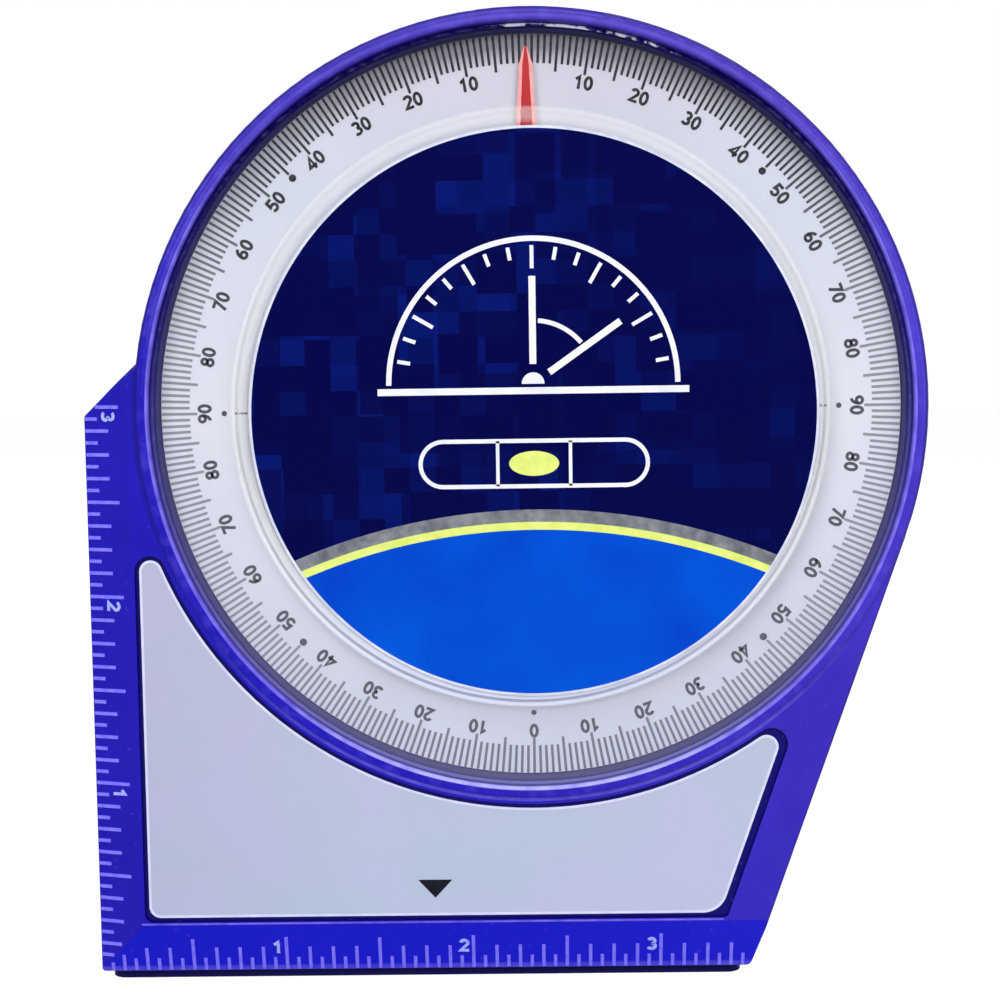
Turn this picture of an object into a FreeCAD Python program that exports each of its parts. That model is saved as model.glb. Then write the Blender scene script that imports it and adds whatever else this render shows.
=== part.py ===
"""Magnetic-base inclinometer: a weighted pendulum turns a needle over a degree dial.

Row frame, millimetres: X to the right along the base, Y from the dial to the back, Z up. The origin lies on
the magnet's resting face, straight below the pivot and halfway through the body's depth. Depths are often
counted "forward", towards the dial side: forward = -Y.
"""
import FreeCAD, Part

import math
import os
import re

import Sketcher

SIZES = {
    # body outline
    "body_depth": 26.0,
    "drum_radius": 52.45,
    "pivot_height": 77.3,
    "side_reach": 6.95,
    "shoulder_drop": 0.1,
    "shoulder_angle": 43.0,
    "flank_angle": 19.34,
    "base_lift": 1.4,
    "frame_setback": 0.3,
    "foot_corner_radius": 0.9,
    "heel_corner_radius": 0.5,
    "rim_round": 0.8,
    "frame_edge_round": 0.4,
    # measuring edges
    "base_bevel_width": 6.9,
    "side_bevel_width": 6.1,
    "bevel_drop": 2.0,
    # walls
    "wall": 2.2,
    "face_thickness": 2.4,
    "base_thickness": 5.0,
    "shelf_thickness": 2.0,
    "well_wall": 2.0,
    # rear cover
    "cover_thickness": 2.4,
    "cover_lip": 1.1,
    "cover_gap": 0.1,
    "cover_ring_inset": 18.2,
    "cover_ring_width": 1.2,
    "cover_ring_depth": 0.5,
    # screws
    "screw_boss_inset": 6.0,
    "screw_boss_radius": 3.2,
    "frame_boss_inset": 7.2,
    "frame_boss_height": 13.0,
    "screw_radius": 1.4,
    "screw_length": 11.0,
    "screw_head_radius": 2.7,
    "screw_head_height": 1.2,
    "screw_sink": 1.4,
    "screw_gap": 0.05,
    "screw_hole_gap": 0.3,
    # magnet
    "magnet_thickness": 3.0,
    "magnet_wall": 1.2,
    "magnet_end_wall": 0.9,
    "magnet_gap": 0.1,
    "magnet_corner_radius": 2.0,
    "backing_thickness": 1.0,
    # front opening, dial and lens
    "rim_width": 1.85,
    "lens_inset": 0.75,
    "lens_gap": 0.1,
    "lens_seat": 0.25,
    "lens_setback": 0.8,
    "lens_thickness": 1.2,
    "dial_show_width": 10.1,
    "lens_boss_height": 0.5,
    "lens_boss_slope": 0.5,
    "crest_round": 0.25,
    "bond_height": 0.8,
    "bond_dip": 0.15,
    "bond_gap": 0.02,
    "dial_inset": 0.65,
    "dial_gap": 0.1,
    "dial_width": 12.7,
    "dial_plate_thickness": 0.8,
    "dial_face_thickness": 0.2,
    "dial_overhang": 0.5,
    "well_floor": 2.0,
    # dial marks
    "mark_margin": 0.05,
    "mark_length": 3.75,
    "long_mark_length": 4.75,
    "mark_width": 0.36,
    "mark_thickness": 0.03,
    # labels
    "centre_label_margin": 1.0,
    "centre_label_thickness": 0.2,
    "centre_label_right": 0.45,
    "centre_label_down": 0.5,
    "panel_land": 0.35,
    "panel_depth": 0.6,
    "panel_arc_land": 0.4,
    "panel_flank_land": 5.45,
    "panel_apex_round": 2.1,
    "panel_tip_round": 2.2,
    "panel_foot_round": 0.8,
    "panel_heel_round": 1.2,
    "panel_label_gap": 0.75,
    "panel_label_flank_gap": 1.2,
    "panel_label_thickness": 0.25,
    "panel_label_tip_round": 1.45,
    "panel_label_foot_round": 3.2,
    "panel_label_heel_round": 1.4,
    # rule marks
    "inch": 25.4,
    "rule_mark_width": 0.45,
    "rule_mark_thickness": 0.12,
    "rule_sixteenth_length": 1.8,
    "rule_eighth_length": 3.45,
    "rule_half_length": 4.8,
    "rule_inch_length": 5.0,
    "rule_edge_gap": 0.15,
    "side_rule_zero": 0.85,
    "rule_mitre_share": 0.75,
    # pivot
    "pin_radius": 1.0,
    "pin_bore_gap": 0.02,
    "pin_boss_radius": 4.5,
    "pin_boss_height": 0.7,
    "pin_boss_depth": 3.0,
    "pin_socket_depth": 0.9,
    "pin_end_gap": 0.1,
    "running_gap": 0.05,
    "washer_radius": 3.0,
    "washer_thickness": 0.25,
    "ring_radius": 2.4,
    "ring_thickness": 0.35,
    # pendulum
    "needle_clearance": 0.5,
    "needle_thickness": 0.4,
    "needle_tip_gap": 1.6,
    "needle_point_length": 2.3,
    "needle_tip_width": 0.2,
    "needle_neck_width": 0.93,
    "needle_root_width": 5.8,
    "needle_hub_radius": 4.2,
    "dial_clearance": 0.5,
    "arm_thickness": 1.0,
    "arm_hub_radius": 8.0,
    "arm_bar_width": 7.0,
    "arm_bar_reach": 29.0,
    "bush_radius": 2.6,
    "bush_collar_radius": 4.2,
    "bush_collar_thickness": 0.8,
    "weight_side_gap": 1.5,
    "weight_inner_radius": 15.0,
    "weight_angle": 116.0,
    "weight_thickness": 4.0,
    "weight_clearance": 1.5,
    "weight_rivet_angle": 38.0,
    "weight_rivet_radius": 1.25,
    "weight_rivet_head_radius": 2.1,
    "weight_rivet_head_height": 0.5,
    "needle_rivet_first": 13.0,
    "needle_rivet_second": 23.0,
    "needle_rivet_radius": 0.7,
    "needle_rivet_head_radius": 1.2,
    "needle_rivet_head_height": 0.3,
    "rivet_gap": 0.02,
}

DIAL_DEGREES = 360
LONG_MARK_EVERY = 5
DRUM_SCREW_ANGLES = (0, 90, 180)
WEIGHT_RIVET_STEPS = (-1, 0, 1)
INCH_PARTS = 16
CUT_PAST = 1

NAME = re.compile(r"\b(" + "|".join(sorted(SIZES, key=len, reverse=True)) + r")\b")

doc = FreeCAD.newDocument("Inclinometer")
sheet = doc.addObject("Spreadsheet::Sheet", "Sizes")
for row, (alias, value) in enumerate(SIZES.items(), start=1):
    sheet.set(f"A{row}", str(value))
    sheet.setAlias(f"A{row}", alias)
doc.recompute()


def size(alias):
    """A driving dimension as a number."""
    return float(sheet.get(alias))


def bound(text):
    """The expression that FreeCAD keeps: every size name becomes its sheet cell."""
    return NAME.sub(r"Sizes.\1", text)


def value(text):
    """An expression of the sizes, worked out as a number."""
    return FreeCAD.Units.Quantity(sheet.evalExpression(bound(text))).Value


# ---- places derived from the driving sizes, as expressions ----------------------------------------

FRONT = "(body_depth / 2)"
REAR = f"(0 - {FRONT})"
FRAME_FRONT = f"({FRONT} - frame_setback)"
LENS_FRONT = f"({FRONT} - lens_setback)"
LENS_REAR = f"({LENS_FRONT} - lens_thickness)"
LENS_BOSS_FRONT = f"({LENS_FRONT} + lens_boss_height)"
NEEDLE_FRONT = f"({LENS_REAR} - needle_clearance)"
NEEDLE_REAR = f"({NEEDLE_FRONT} - needle_thickness)"
DIAL_FRONT = f"({NEEDLE_REAR} - dial_clearance)"
DIAL_PLATE_FRONT = f"({DIAL_FRONT} - dial_face_thickness)"
SHELF_FRONT = f"({DIAL_PLATE_FRONT} - dial_plate_thickness)"
SHELF_REAR = f"({SHELF_FRONT} - shelf_thickness)"
ARM_REAR = f"({NEEDLE_REAR} - arm_thickness)"
WEIGHT_REAR = f"({ARM_REAR} - weight_thickness)"
WELL_FRONT = f"({WEIGHT_REAR} - weight_clearance)"
WELL_REAR = f"({WELL_FRONT} - well_floor)"
PIN_BOSS_FRONT = f"({WELL_FRONT} + pin_boss_height)"
PIN_BOSS_REAR = f"({WELL_REAR} - pin_boss_depth)"
WASHER_FRONT = f"({PIN_BOSS_FRONT} + washer_thickness)"
BUSH_REAR = f"({WASHER_FRONT} + running_gap)"
RING_REAR = f"({NEEDLE_FRONT} + running_gap)"
PIN_FRONT = f"({LENS_REAR} + pin_socket_depth - pin_end_gap)"
COVER_FRONT = f"({REAR} + cover_thickness)"
CAVITY_FLOOR = "(base_lift + base_thickness)"
FRAME_LEFT = "(0 - drum_radius - side_reach)"
FRAME_LEFT_TOP = "(pivot_height - shoulder_drop)"
DRUM_INNER = "(drum_radius - wall)"
SCREW_CIRCLE = f"({DRUM_INNER} - screw_boss_inset)"
MOUTH_RADIUS = "(drum_radius - rim_width)"
LENS_RADIUS = f"({MOUTH_RADIUS} - lens_inset)"
DIAL_RADIUS = f"({LENS_RADIUS} - dial_inset)"
DIAL_INNER = f"({DIAL_RADIUS} - dial_width)"
MARK_OUTER = f"({DIAL_RADIUS} - mark_margin)"
WELL_RADIUS = f"({DIAL_INNER} - dial_overhang)"
WEIGHT_RADIUS = f"({WELL_RADIUS} - weight_side_gap)"
RIVET_CIRCLE = f"(({WEIGHT_RADIUS} + weight_inner_radius) / 2)"
NEEDLE_REACH = f"({MARK_OUTER} - needle_tip_gap)"
LENS_BOSS_RADIUS = f"({DIAL_RADIUS} - dial_show_width)"
MAGNET_TOP = "(magnet_thickness + backing_thickness)"
MAGNET_FRONT = f"({FRAME_FRONT} - bevel_drop - magnet_wall)"
MAGNET_REAR = f"({COVER_FRONT} + magnet_wall)"


def flank_across(inset, level):
    """X of the slanted right side, moved inwards by inset, at a level."""
    return (f"((drum_radius - {inset} - (pivot_height - {level}) * sin(flank_angle * 1 deg))"
            " / cos(flank_angle * 1 deg))")


def frame_corners(inset, floor):
    """Corners of the lower frame's outline, moved inwards by inset, with its bottom at floor.

    The right side is tangent to the drum, so it runs to the tangent point. Two corners lie inside the drum,
    where the drum's own solid covers them.
    """
    left = f"({FRAME_LEFT} + {inset})"
    slope = "shoulder_angle * 1 deg"
    left_top = f"({FRAME_LEFT_TOP} + {inset} * (tan({slope}) - 1 / cos({slope})))"
    shoulder = f"(0 - {DRUM_INNER} + {inset})"
    shoulder_top = f"({left_top} + ({shoulder} - {left}) * tan({slope}))"
    return [
        (left, floor),
        (flank_across(inset, floor), floor),
        (f"(drum_radius - {inset}) * cos(flank_angle * 1 deg)",
         f"pivot_height - (drum_radius - {inset}) * sin(flank_angle * 1 deg)"),
        ("0", "pivot_height"),
        (shoulder, shoulder_top),
        (left, left_top),
    ]


# ---- drawing helpers ------------------------------------------------------------------------------

def new_body(label):
    body = doc.addObject("PartDesign::Body", label)
    body.Label = label
    return body


def new_sketch(body, plane, along, up="0"):
    """A sketch on one of the body's origin planes, moved along its normal and up in its own plane."""
    origin_plane = next(item for item in body.Origin.OriginFeatures if item.Role == plane)
    sketch = body.newObject("Sketcher::SketchObject", f"{body.Name}_sketch")
    sketch.AttachmentSupport = (origin_plane, [""])
    sketch.MapMode = "FlatFace"
    sketch.setExpression("AttachmentOffset.Base.z", bound(along))
    sketch.setExpression("AttachmentOffset.Base.y", bound(up))
    return sketch


def front_sketch(body, forward, up="0"):
    """Front view: across is X, up is Z, the normal points towards the dial side."""
    return new_sketch(body, "XZ_Plane", forward, up)


def constrain(sketch, kind, *items, to):
    """One dimension of the sketch, bound to the sheet and starting at its true value."""
    start = math.radians(value(to)) if kind == "Angle" else value(to)
    index = sketch.addConstraint(Sketcher.Constraint(kind, *items, start))
    sketch.setExpression(f"Constraints[{index}]", bound(to))


def draw_circle(sketch, radius, across="0", up="0"):
    centre = FreeCAD.Vector(0, 0, 0)
    circle = sketch.addGeometry(Part.Circle(centre, FreeCAD.Vector(0, 0, 1), size("pin_radius")), False)
    constrain(sketch, "DistanceX", -1, 1, circle, 3, to=across)
    constrain(sketch, "DistanceY", -1, 1, circle, 3, to=up)
    constrain(sketch, "Radius", circle, to=radius)


def draw_polygon(sketch, corners):
    """A closed outline of straight edges through corners, each one bound across and up."""
    count = len(corners)
    guesses = [FreeCAD.Vector(math.cos(math.tau * turn / count), math.sin(math.tau * turn / count), 0)
               for turn in range(count)]
    lines = [sketch.addGeometry(Part.LineSegment(guesses[turn], guesses[(turn + 1) % count]), False)
             for turn in range(count)]
    for turn, line in enumerate(lines):
        sketch.addConstraint(Sketcher.Constraint("Coincident", line, 2, lines[(turn + 1) % count], 1))
    for line, (across, up) in zip(lines, corners):
        constrain(sketch, "DistanceX", -1, 1, line, 1, to=across)
        constrain(sketch, "DistanceY", -1, 1, line, 1, to=up)


def draw_rectangle(sketch, left, right, bottom, top):
    draw_polygon(sketch, [(left, bottom), (right, bottom), (right, top), (left, top)])


def pad(body, sketch, length):
    """Adds the sketched outline, from its plane towards its normal."""
    feature = body.newObject("PartDesign::Pad", f"{body.Name}_pad")
    feature.Profile = sketch
    feature.setExpression("Length", bound(length))
    return feature


def pocket(body, sketch, length, towards_normal=False):
    """Cuts the sketched outline away, against the sketch's normal unless told otherwise."""
    feature = body.newObject("PartDesign::Pocket", f"{body.Name}_pocket")
    feature.Profile = sketch
    feature.setExpression("Length", bound(length))
    feature.Reversed = towards_normal
    return feature


def turning_sketch(body, corners):
    """Half section of a turned form: each corner is (forward, radius) about the pivot axis."""
    sketch = new_sketch(body, "YZ_Plane", "0", "pivot_height")
    draw_polygon(sketch, [(f"0 - {forward}", radius) for forward, radius in corners])
    return sketch


def turn(body, kind, corners):
    sketch = turning_sketch(body, corners)
    feature = body.newObject(kind, f"{body.Name}_turn")
    feature.Profile = sketch
    feature.ReferenceAxis = (sketch, ["H_Axis"])
    return feature


def turned_body(label, corners):
    """A round piece about the pivot axis."""
    body = new_body(label)
    turn(body, "PartDesign::Revolution", corners)
    return body


def sleeve(label, rear, front, inner, outer):
    """A plain ring or tube about the pivot axis."""
    return turned_body(label, [(rear, inner), (front, inner), (front, outer), (rear, outer)])


def edges_near(feature, places, tolerance=0.05):
    """Names of the edges that pass through the given points, each (across, forward, up)."""
    names = []
    for across, forward, up in places:
        point = Part.Vertex(FreeCAD.Vector(across, -forward, up))
        names += [f"Edge{index}" for index, edge in enumerate(feature.Shape.Edges, start=1)
                  if edge.distToShape(point)[0] < tolerance]
    return sorted(set(names))


def dress(body, kind, feature, names, amount):
    """A fillet or chamfer on the named edges."""
    dressed = body.newObject(kind, f"{body.Name}_edge")
    dressed.Base = (feature, names)
    dressed.setExpression("Radius" if kind == "PartDesign::Fillet" else "Size", bound(amount))
    return dressed


def polar(radius, degrees):
    """Expressions for a point at radius from the pivot; 0 degrees is to the right, 90 straight up."""
    return (f"({radius}) * cos(({degrees}) * 1 deg)", f"pivot_height + ({radius}) * sin(({degrees}) * 1 deg)")


def screw_places():
    """The five cover screws: three round the drum and two at the foot of the frame."""
    places = [polar(SCREW_CIRCLE, angle) for angle in DRUM_SCREW_ANGLES]
    places.append((f"{FRAME_LEFT} + frame_boss_inset", "frame_boss_height"))
    places.append((flank_across("frame_boss_inset", "frame_boss_height"), "frame_boss_height"))
    return places


# ---- housing --------------------------------------------------------------------------------------

def draw_panel(sketch, gap, flank_gap, apex_round):
    """The lower frame's panel: straight left, bottom and right sides under an arc round the drum.

    gap and flank_gap name the sizes that keep a label clear of the recess; "0" draws the recess itself. The
    left side only grazes the arc, so a round apex joins the two. Returns the other three corners.
    """
    level = f"(base_lift + base_bevel_width + panel_land + {gap})"
    left_across = f"({FRAME_LEFT} + side_bevel_width + panel_land + {gap})"
    foot_across = flank_across(f"(panel_flank_land + {flank_gap})", level)
    arc_radius = f"(drum_radius + panel_arc_land + {gap})"
    left = value(left_across)
    radius = value(arc_radius)
    apex = value(apex_round)
    inset = value(f"panel_flank_land + {flank_gap}")
    swing = math.radians(size("flank_angle")) + math.acos((size("drum_radius") - inset) / radius)
    pivot = FreeCAD.Vector(0, size("pivot_height"), 0)
    heel = FreeCAD.Vector(left, value(level), 0)
    foot = FreeCAD.Vector(value(foot_across), value(level), 0)
    tip = pivot + FreeCAD.Vector(radius * math.cos(swing), -radius * math.sin(swing), 0)
    middle = FreeCAD.Vector(left + apex, pivot.y - math.sqrt((radius + apex) ** 2 - (left + apex) ** 2), 0)
    bearing = math.atan2(pivot.y - middle.y, pivot.x - middle.x)
    upright = FreeCAD.Vector(0, 0, 1)
    base_side = sketch.addGeometry(Part.LineSegment(heel, foot), False)
    flank_side = sketch.addGeometry(Part.LineSegment(foot, tip), False)
    left_side = sketch.addGeometry(Part.LineSegment(FreeCAD.Vector(left, middle.y, 0), heel), False)
    arc = sketch.addGeometry(
        Part.ArcOfCircle(Part.Circle(pivot, upright, radius), bearing - math.pi, -swing), False)
    cap = sketch.addGeometry(Part.ArcOfCircle(Part.Circle(middle, upright, apex), bearing, math.pi), False)
    sketch.addConstraint([
        Sketcher.Constraint("Coincident", base_side, 2, flank_side, 1),
        Sketcher.Constraint("Coincident", left_side, 2, base_side, 1),
        Sketcher.Constraint("Coincident", arc, 2, flank_side, 2),
        Sketcher.Constraint("Tangent", cap, 1, arc, 1),
        Sketcher.Constraint("Tangent", cap, 2, left_side, 1),
        Sketcher.Constraint("Horizontal", base_side),
        Sketcher.Constraint("Vertical", left_side),
    ])
    constrain(sketch, "DistanceX", -1, 1, base_side, 1, to=left_across)
    constrain(sketch, "DistanceY", -1, 1, base_side, 1, to=level)
    constrain(sketch, "DistanceX", -1, 1, base_side, 2, to=foot_across)
    constrain(sketch, "Angle", flank_side, to="90 - flank_angle")
    constrain(sketch, "DistanceX", -1, 1, arc, 3, to="0")
    constrain(sketch, "DistanceY", -1, 1, arc, 3, to="pivot_height")
    constrain(sketch, "Radius", arc, to=arc_radius)
    constrain(sketch, "Radius", cap, to=apex_round)
    return heel, foot, tip


def round_panel(body, feature, corners, forward, rounds):
    """Rounds the panel's heel, foot and tip; forward is a depth at which only those upright edges are met."""
    doc.recompute()
    for corner, amount in zip(corners, rounds):
        names = edges_near(feature, [(corner.x, forward, corner.y)])
        feature = dress(body, "PartDesign::Fillet", feature, names, amount)
        doc.recompute()


def cone_radius(forward):
    """Radius of the drum's tapered mouth at a depth."""
    taper = f"(lens_inset - lens_gap) / ({FRONT} - {LENS_REAR})"
    return f"({MOUTH_RADIUS} - ({FRONT} - {forward}) * {taper})"


def make_frame_form():
    """The lower frame as a solid block with rounded corners and outline."""
    form = new_body("frame_form")
    outline = front_sketch(form, REAR)
    draw_polygon(outline, frame_corners("0", "base_lift"))
    block = pad(form, outline, f"{FRAME_FRONT} - {REAR}")
    doc.recompute()
    lift = size("base_lift")
    heel = value(FRAME_LEFT)
    foot_edge = edges_near(block, [(value(flank_across("0", "base_lift")), 0, lift)])
    footed = dress(form, "PartDesign::Fillet", block, foot_edge, "foot_corner_radius")
    doc.recompute()
    heel_edges = edges_near(footed, [(heel, 0, lift), (heel, 0, value(FRAME_LEFT_TOP))])
    heeled = dress(form, "PartDesign::Fillet", footed, heel_edges, "heel_corner_radius")
    doc.recompute()
    halfway = size("pivot_height") / 2
    flank = value(flank_across("0", "(pivot_height / 2)"))
    outlines = edges_near(heeled, [(flank, value(forward), halfway) for forward in (FRAME_FRONT, REAR)])
    dress(form, "PartDesign::Fillet", heeled, outlines, "frame_edge_round")
    doc.recompute()
    return form


def join_drum_and_frame(body):
    """A round drum with rounded rims, and the frame that it grows out of."""
    drum = front_sketch(body, REAR)
    draw_circle(drum, "drum_radius", "0", "pivot_height")
    drum_pad = pad(body, drum, "body_depth")
    doc.recompute()
    top = size("pivot_height") + size("drum_radius")
    rims = edges_near(drum_pad, [(0, value(FRONT), top), (0, value(REAR), top)])
    dress(body, "PartDesign::Fillet", drum_pad, rims, "rim_round")
    doc.recompute()
    join = body.newObject("PartDesign::Boolean", f"{body.Name}_join")
    join.Type = "Fuse"
    join.setObjects([make_frame_form()])
    doc.recompute()


def hollow_from_behind(body):
    """Frame cavity, drum wall, drum cavity and the rebate for the cover."""
    frame = front_sketch(body, REAR)
    draw_polygon(frame, frame_corners("wall", CAVITY_FLOOR))
    pocket(body, frame, f"{FRAME_FRONT} - face_thickness - {REAR}", towards_normal=True)
    wall_ring = front_sketch(body, COVER_FRONT)
    draw_circle(wall_ring, "drum_radius", "0", "pivot_height")
    pad(body, wall_ring, f"{FRONT} - 2 * rim_round - {COVER_FRONT}")
    drum = front_sketch(body, REAR)
    draw_circle(drum, DRUM_INNER, "0", "pivot_height")
    pocket(body, drum, f"{SHELF_REAR} - {REAR}", towards_normal=True)
    round_rebate = front_sketch(body, REAR)
    draw_circle(round_rebate, "drum_radius - cover_lip", "0", "pivot_height")
    pocket(body, round_rebate, "cover_thickness", towards_normal=True)
    frame_rebate = front_sketch(body, REAR)
    draw_polygon(frame_rebate, frame_corners("cover_lip", "(base_lift + cover_lip)"))
    pocket(body, frame_rebate, "cover_thickness", towards_normal=True)


def add_inner_forms(body):
    """The pendulum's well, the pin's rear boss and the bosses for the cover screws."""
    well = front_sketch(body, WELL_REAR)
    draw_circle(well, f"{WELL_RADIUS} + well_wall", "0", "pivot_height")
    pad(body, well, f"{SHELF_FRONT} - {WELL_REAR}")
    rear_boss = front_sketch(body, PIN_BOSS_REAR)
    draw_circle(rear_boss, "pin_boss_radius", "0", "pivot_height")
    pad(body, rear_boss, "pin_boss_depth")
    places = screw_places()
    drum_count = len(DRUM_SCREW_ANGLES)
    face_rear = f"({FRAME_FRONT} - face_thickness)"
    for ring, front in ((places[:drum_count], SHELF_REAR), (places[drum_count:], face_rear)):
        bosses = front_sketch(body, COVER_FRONT)
        for across, up in ring:
            draw_circle(bosses, "screw_boss_radius", across, up)
        pad(body, bosses, f"{front} - {COVER_FRONT}")
    pilots = front_sketch(body, COVER_FRONT)
    for across, up in places:
        draw_circle(pilots, "screw_radius + screw_gap", across, up)
    pocket(body, pilots, "screw_length + 2 * screw_sink - cover_thickness", towards_normal=True)


def open_the_mouth(body):
    """One turned cut for the tapered mouth, lens seat, dial shelf and well; then the pin's boss and bore."""
    dial_bore = f"({DIAL_RADIUS} + dial_gap)"
    seat = f"({LENS_RADIUS} + lens_gap)"
    cut = turn(body, "PartDesign::Groove", [
        (f"({FRONT} + {CUT_PAST})", "0"), (f"({FRONT} + {CUT_PAST})", MOUTH_RADIUS), (FRONT, MOUTH_RADIUS),
        (LENS_REAR, seat), (LENS_REAR, f"({seat} - lens_seat)"), (DIAL_FRONT, dial_bore),
        (SHELF_FRONT, dial_bore), (SHELF_FRONT, WELL_RADIUS), (WELL_FRONT, WELL_RADIUS),
        (WELL_FRONT, "0")])
    doc.recompute()
    crest = edges_near(cut, [(0, value(FRONT), size("pivot_height") + value(MOUTH_RADIUS))])
    dress(body, "PartDesign::Fillet", cut, crest, "crest_round")
    boss = front_sketch(body, WELL_FRONT)
    draw_circle(boss, "pin_boss_radius", "0", "pivot_height")
    pad(body, boss, "pin_boss_height")
    bore = front_sketch(body, PIN_BOSS_FRONT)
    draw_circle(bore, "pin_radius + pin_bore_gap", "0", "pivot_height")
    pocket(body, bore, f"{PIN_BOSS_FRONT} - {PIN_BOSS_REAR} + {CUT_PAST}")


def bevel_edges(body):
    """The two measuring edges slope away from the front face and meet in a mitre."""
    high = f"({FRAME_FRONT} + bevel_drop)"
    low = f"({FRAME_FRONT} - 2 * bevel_drop)"
    base = new_sketch(body, "YZ_Plane", f"{FRAME_LEFT} - wall")
    draw_polygon(base, [
        (f"0 - {high}", "base_lift + 2 * base_bevel_width"),
        (f"0 - {low}", "base_lift - base_bevel_width"),
        (f"0 - {high}", "base_lift - base_bevel_width")])
    pocket(body, base, "2 * drum_radius + side_reach + 2 * wall", towards_normal=True)
    side = new_sketch(body, "XY_Plane", "0 - base_lift")
    draw_polygon(side, [
        (f"{FRAME_LEFT} + 2 * side_bevel_width", f"0 - {high}"),
        (f"{FRAME_LEFT} - side_bevel_width", f"0 - {low}"),
        (f"{FRAME_LEFT} - side_bevel_width", f"0 - {high}")])
    pocket(body, side, "pivot_height + drum_radius", towards_normal=True)


def sink_panel(body):
    """The shallow recess for the panel label."""
    panel = front_sketch(body, FRAME_FRONT)
    corners = draw_panel(panel, "0", "0", "panel_apex_round")
    cut = pocket(body, panel, "panel_depth")
    middle = value(f"{FRAME_FRONT} - panel_depth / 2")
    round_panel(body, cut, corners, middle, ("panel_heel_round", "panel_foot_round", "panel_tip_round"))


def magnet_outline(sketch, gap):
    """Plan of the recess under the base, or of what lies in it with a gap all round."""
    draw_rectangle(sketch, f"{FRAME_LEFT} + magnet_end_wall + {gap}",
                   f"{flank_across('magnet_end_wall', 'base_lift')} - {gap}",
                   f"0 - {MAGNET_FRONT} + {gap}", f"0 - {MAGNET_REAR} - {gap}")


def make_housing_shell():
    body = new_body("housing_shell")
    join_drum_and_frame(body)
    hollow_from_behind(body)
    add_inner_forms(body)
    open_the_mouth(body)
    bevel_edges(body)
    sink_panel(body)
    recess = new_sketch(body, "XY_Plane", "0")
    magnet_outline(recess, "0")
    pocket(body, recess, MAGNET_TOP, towards_normal=True)
    return body


def make_rear_cover():
    """Flat plate let into the rebate, with a sunk ring and stepped screw holes."""
    body = new_body("rear_cover")
    inset = "(cover_lip + cover_gap)"
    drum = front_sketch(body, REAR)
    draw_circle(drum, f"drum_radius - {inset}", "0", "pivot_height")
    pad(body, drum, "cover_thickness")
    frame = front_sketch(body, REAR)
    draw_polygon(frame, frame_corners(inset, f"(base_lift + {inset})"))
    pad(body, frame, "cover_thickness")
    holes = front_sketch(body, REAR)
    heads = front_sketch(body, REAR)
    for across, up in screw_places():
        draw_circle(holes, "screw_radius + screw_hole_gap", across, up)
        draw_circle(heads, "screw_head_radius + screw_hole_gap", across, up)
    pocket(body, holes, "cover_thickness", towards_normal=True)
    pocket(body, heads, "screw_sink", towards_normal=True)
    ring = front_sketch(body, REAR)
    draw_circle(ring, "drum_radius - cover_ring_inset", "0", "pivot_height")
    draw_circle(ring, "drum_radius - cover_ring_inset - cover_ring_width", "0", "pivot_height")
    pocket(body, ring, "cover_ring_depth", towards_normal=True)
    return body


# ---- what the housing carries ---------------------------------------------------------------------

def strip_in_recess(label, bottom, thickness):
    """A flat strip with rounded corners that lies in the recess under the base."""
    body = new_body(label)
    plan = new_sketch(body, "XY_Plane", bottom)
    magnet_outline(plan, "magnet_gap")
    strip = pad(body, plan, thickness)
    doc.recompute()
    uprights = [f"Edge{index}" for index, edge in enumerate(strip.Shape.Edges, start=1)
                if edge.BoundBox.XLength + edge.BoundBox.YLength < size("magnet_gap")]
    dress(body, "PartDesign::Fillet", strip, uprights, "magnet_corner_radius")
    return body


def make_magnet():
    strip_in_recess("base_magnet", "0", "magnet_thickness")
    strip_in_recess("magnet_backing_plate", "magnet_thickness", "backing_thickness")


def make_dial():
    sleeve("dial_plate", SHELF_FRONT, DIAL_PLATE_FRONT, DIAL_INNER, DIAL_RADIUS)
    sleeve("dial_face", DIAL_PLATE_FRONT, DIAL_FRONT, DIAL_INNER, DIAL_RADIUS)


def make_lens():
    """Clear disc with a low raised middle and a blind socket for the pin, and the bond round its edge."""
    socket = f"({LENS_REAR} + pin_socket_depth)"
    socket_radius = "(pin_radius + pin_bore_gap)"
    turned_body("lens", [
        (socket, "0"), (socket, socket_radius), (LENS_REAR, socket_radius), (LENS_REAR, LENS_RADIUS),
        (LENS_FRONT, LENS_RADIUS), (LENS_FRONT, LENS_BOSS_RADIUS),
        (LENS_BOSS_FRONT, f"({LENS_BOSS_RADIUS} - lens_boss_slope)"), (LENS_BOSS_FRONT, "0")])
    bond_rear = f"({LENS_FRONT} - bond_height)"
    bond_front = f"({LENS_FRONT} - bond_dip)"
    turned_body("lens_bond", [
        (bond_rear, f"{LENS_RADIUS} + bond_gap"), (LENS_FRONT, f"{LENS_RADIUS} + bond_gap"),
        (bond_front, f"{cone_radius(bond_front)} - bond_gap"),
        (bond_rear, f"{cone_radius(bond_rear)} - bond_gap")])


def make_labels():
    centre = new_body("centre_label")
    disc = front_sketch(centre, LENS_BOSS_FRONT)
    draw_circle(disc, f"{LENS_BOSS_RADIUS} - lens_boss_slope - centre_label_margin",
                "centre_label_right", "pivot_height - centre_label_down")
    pad(centre, disc, "centre_label_thickness")
    panel = new_body("panel_label")
    outline = front_sketch(panel, f"{FRAME_FRONT} - panel_depth")
    corners = draw_panel(outline, "panel_label_gap", "panel_label_flank_gap",
                         "panel_apex_round - panel_label_gap")
    sheet_pad = pad(panel, outline, "panel_label_thickness")
    middle = value(f"{FRAME_FRONT} - panel_depth + panel_label_thickness / 2")
    round_panel(panel, sheet_pad, corners, middle,
                ("panel_label_heel_round", "panel_label_foot_round", "panel_label_tip_round"))


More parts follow.
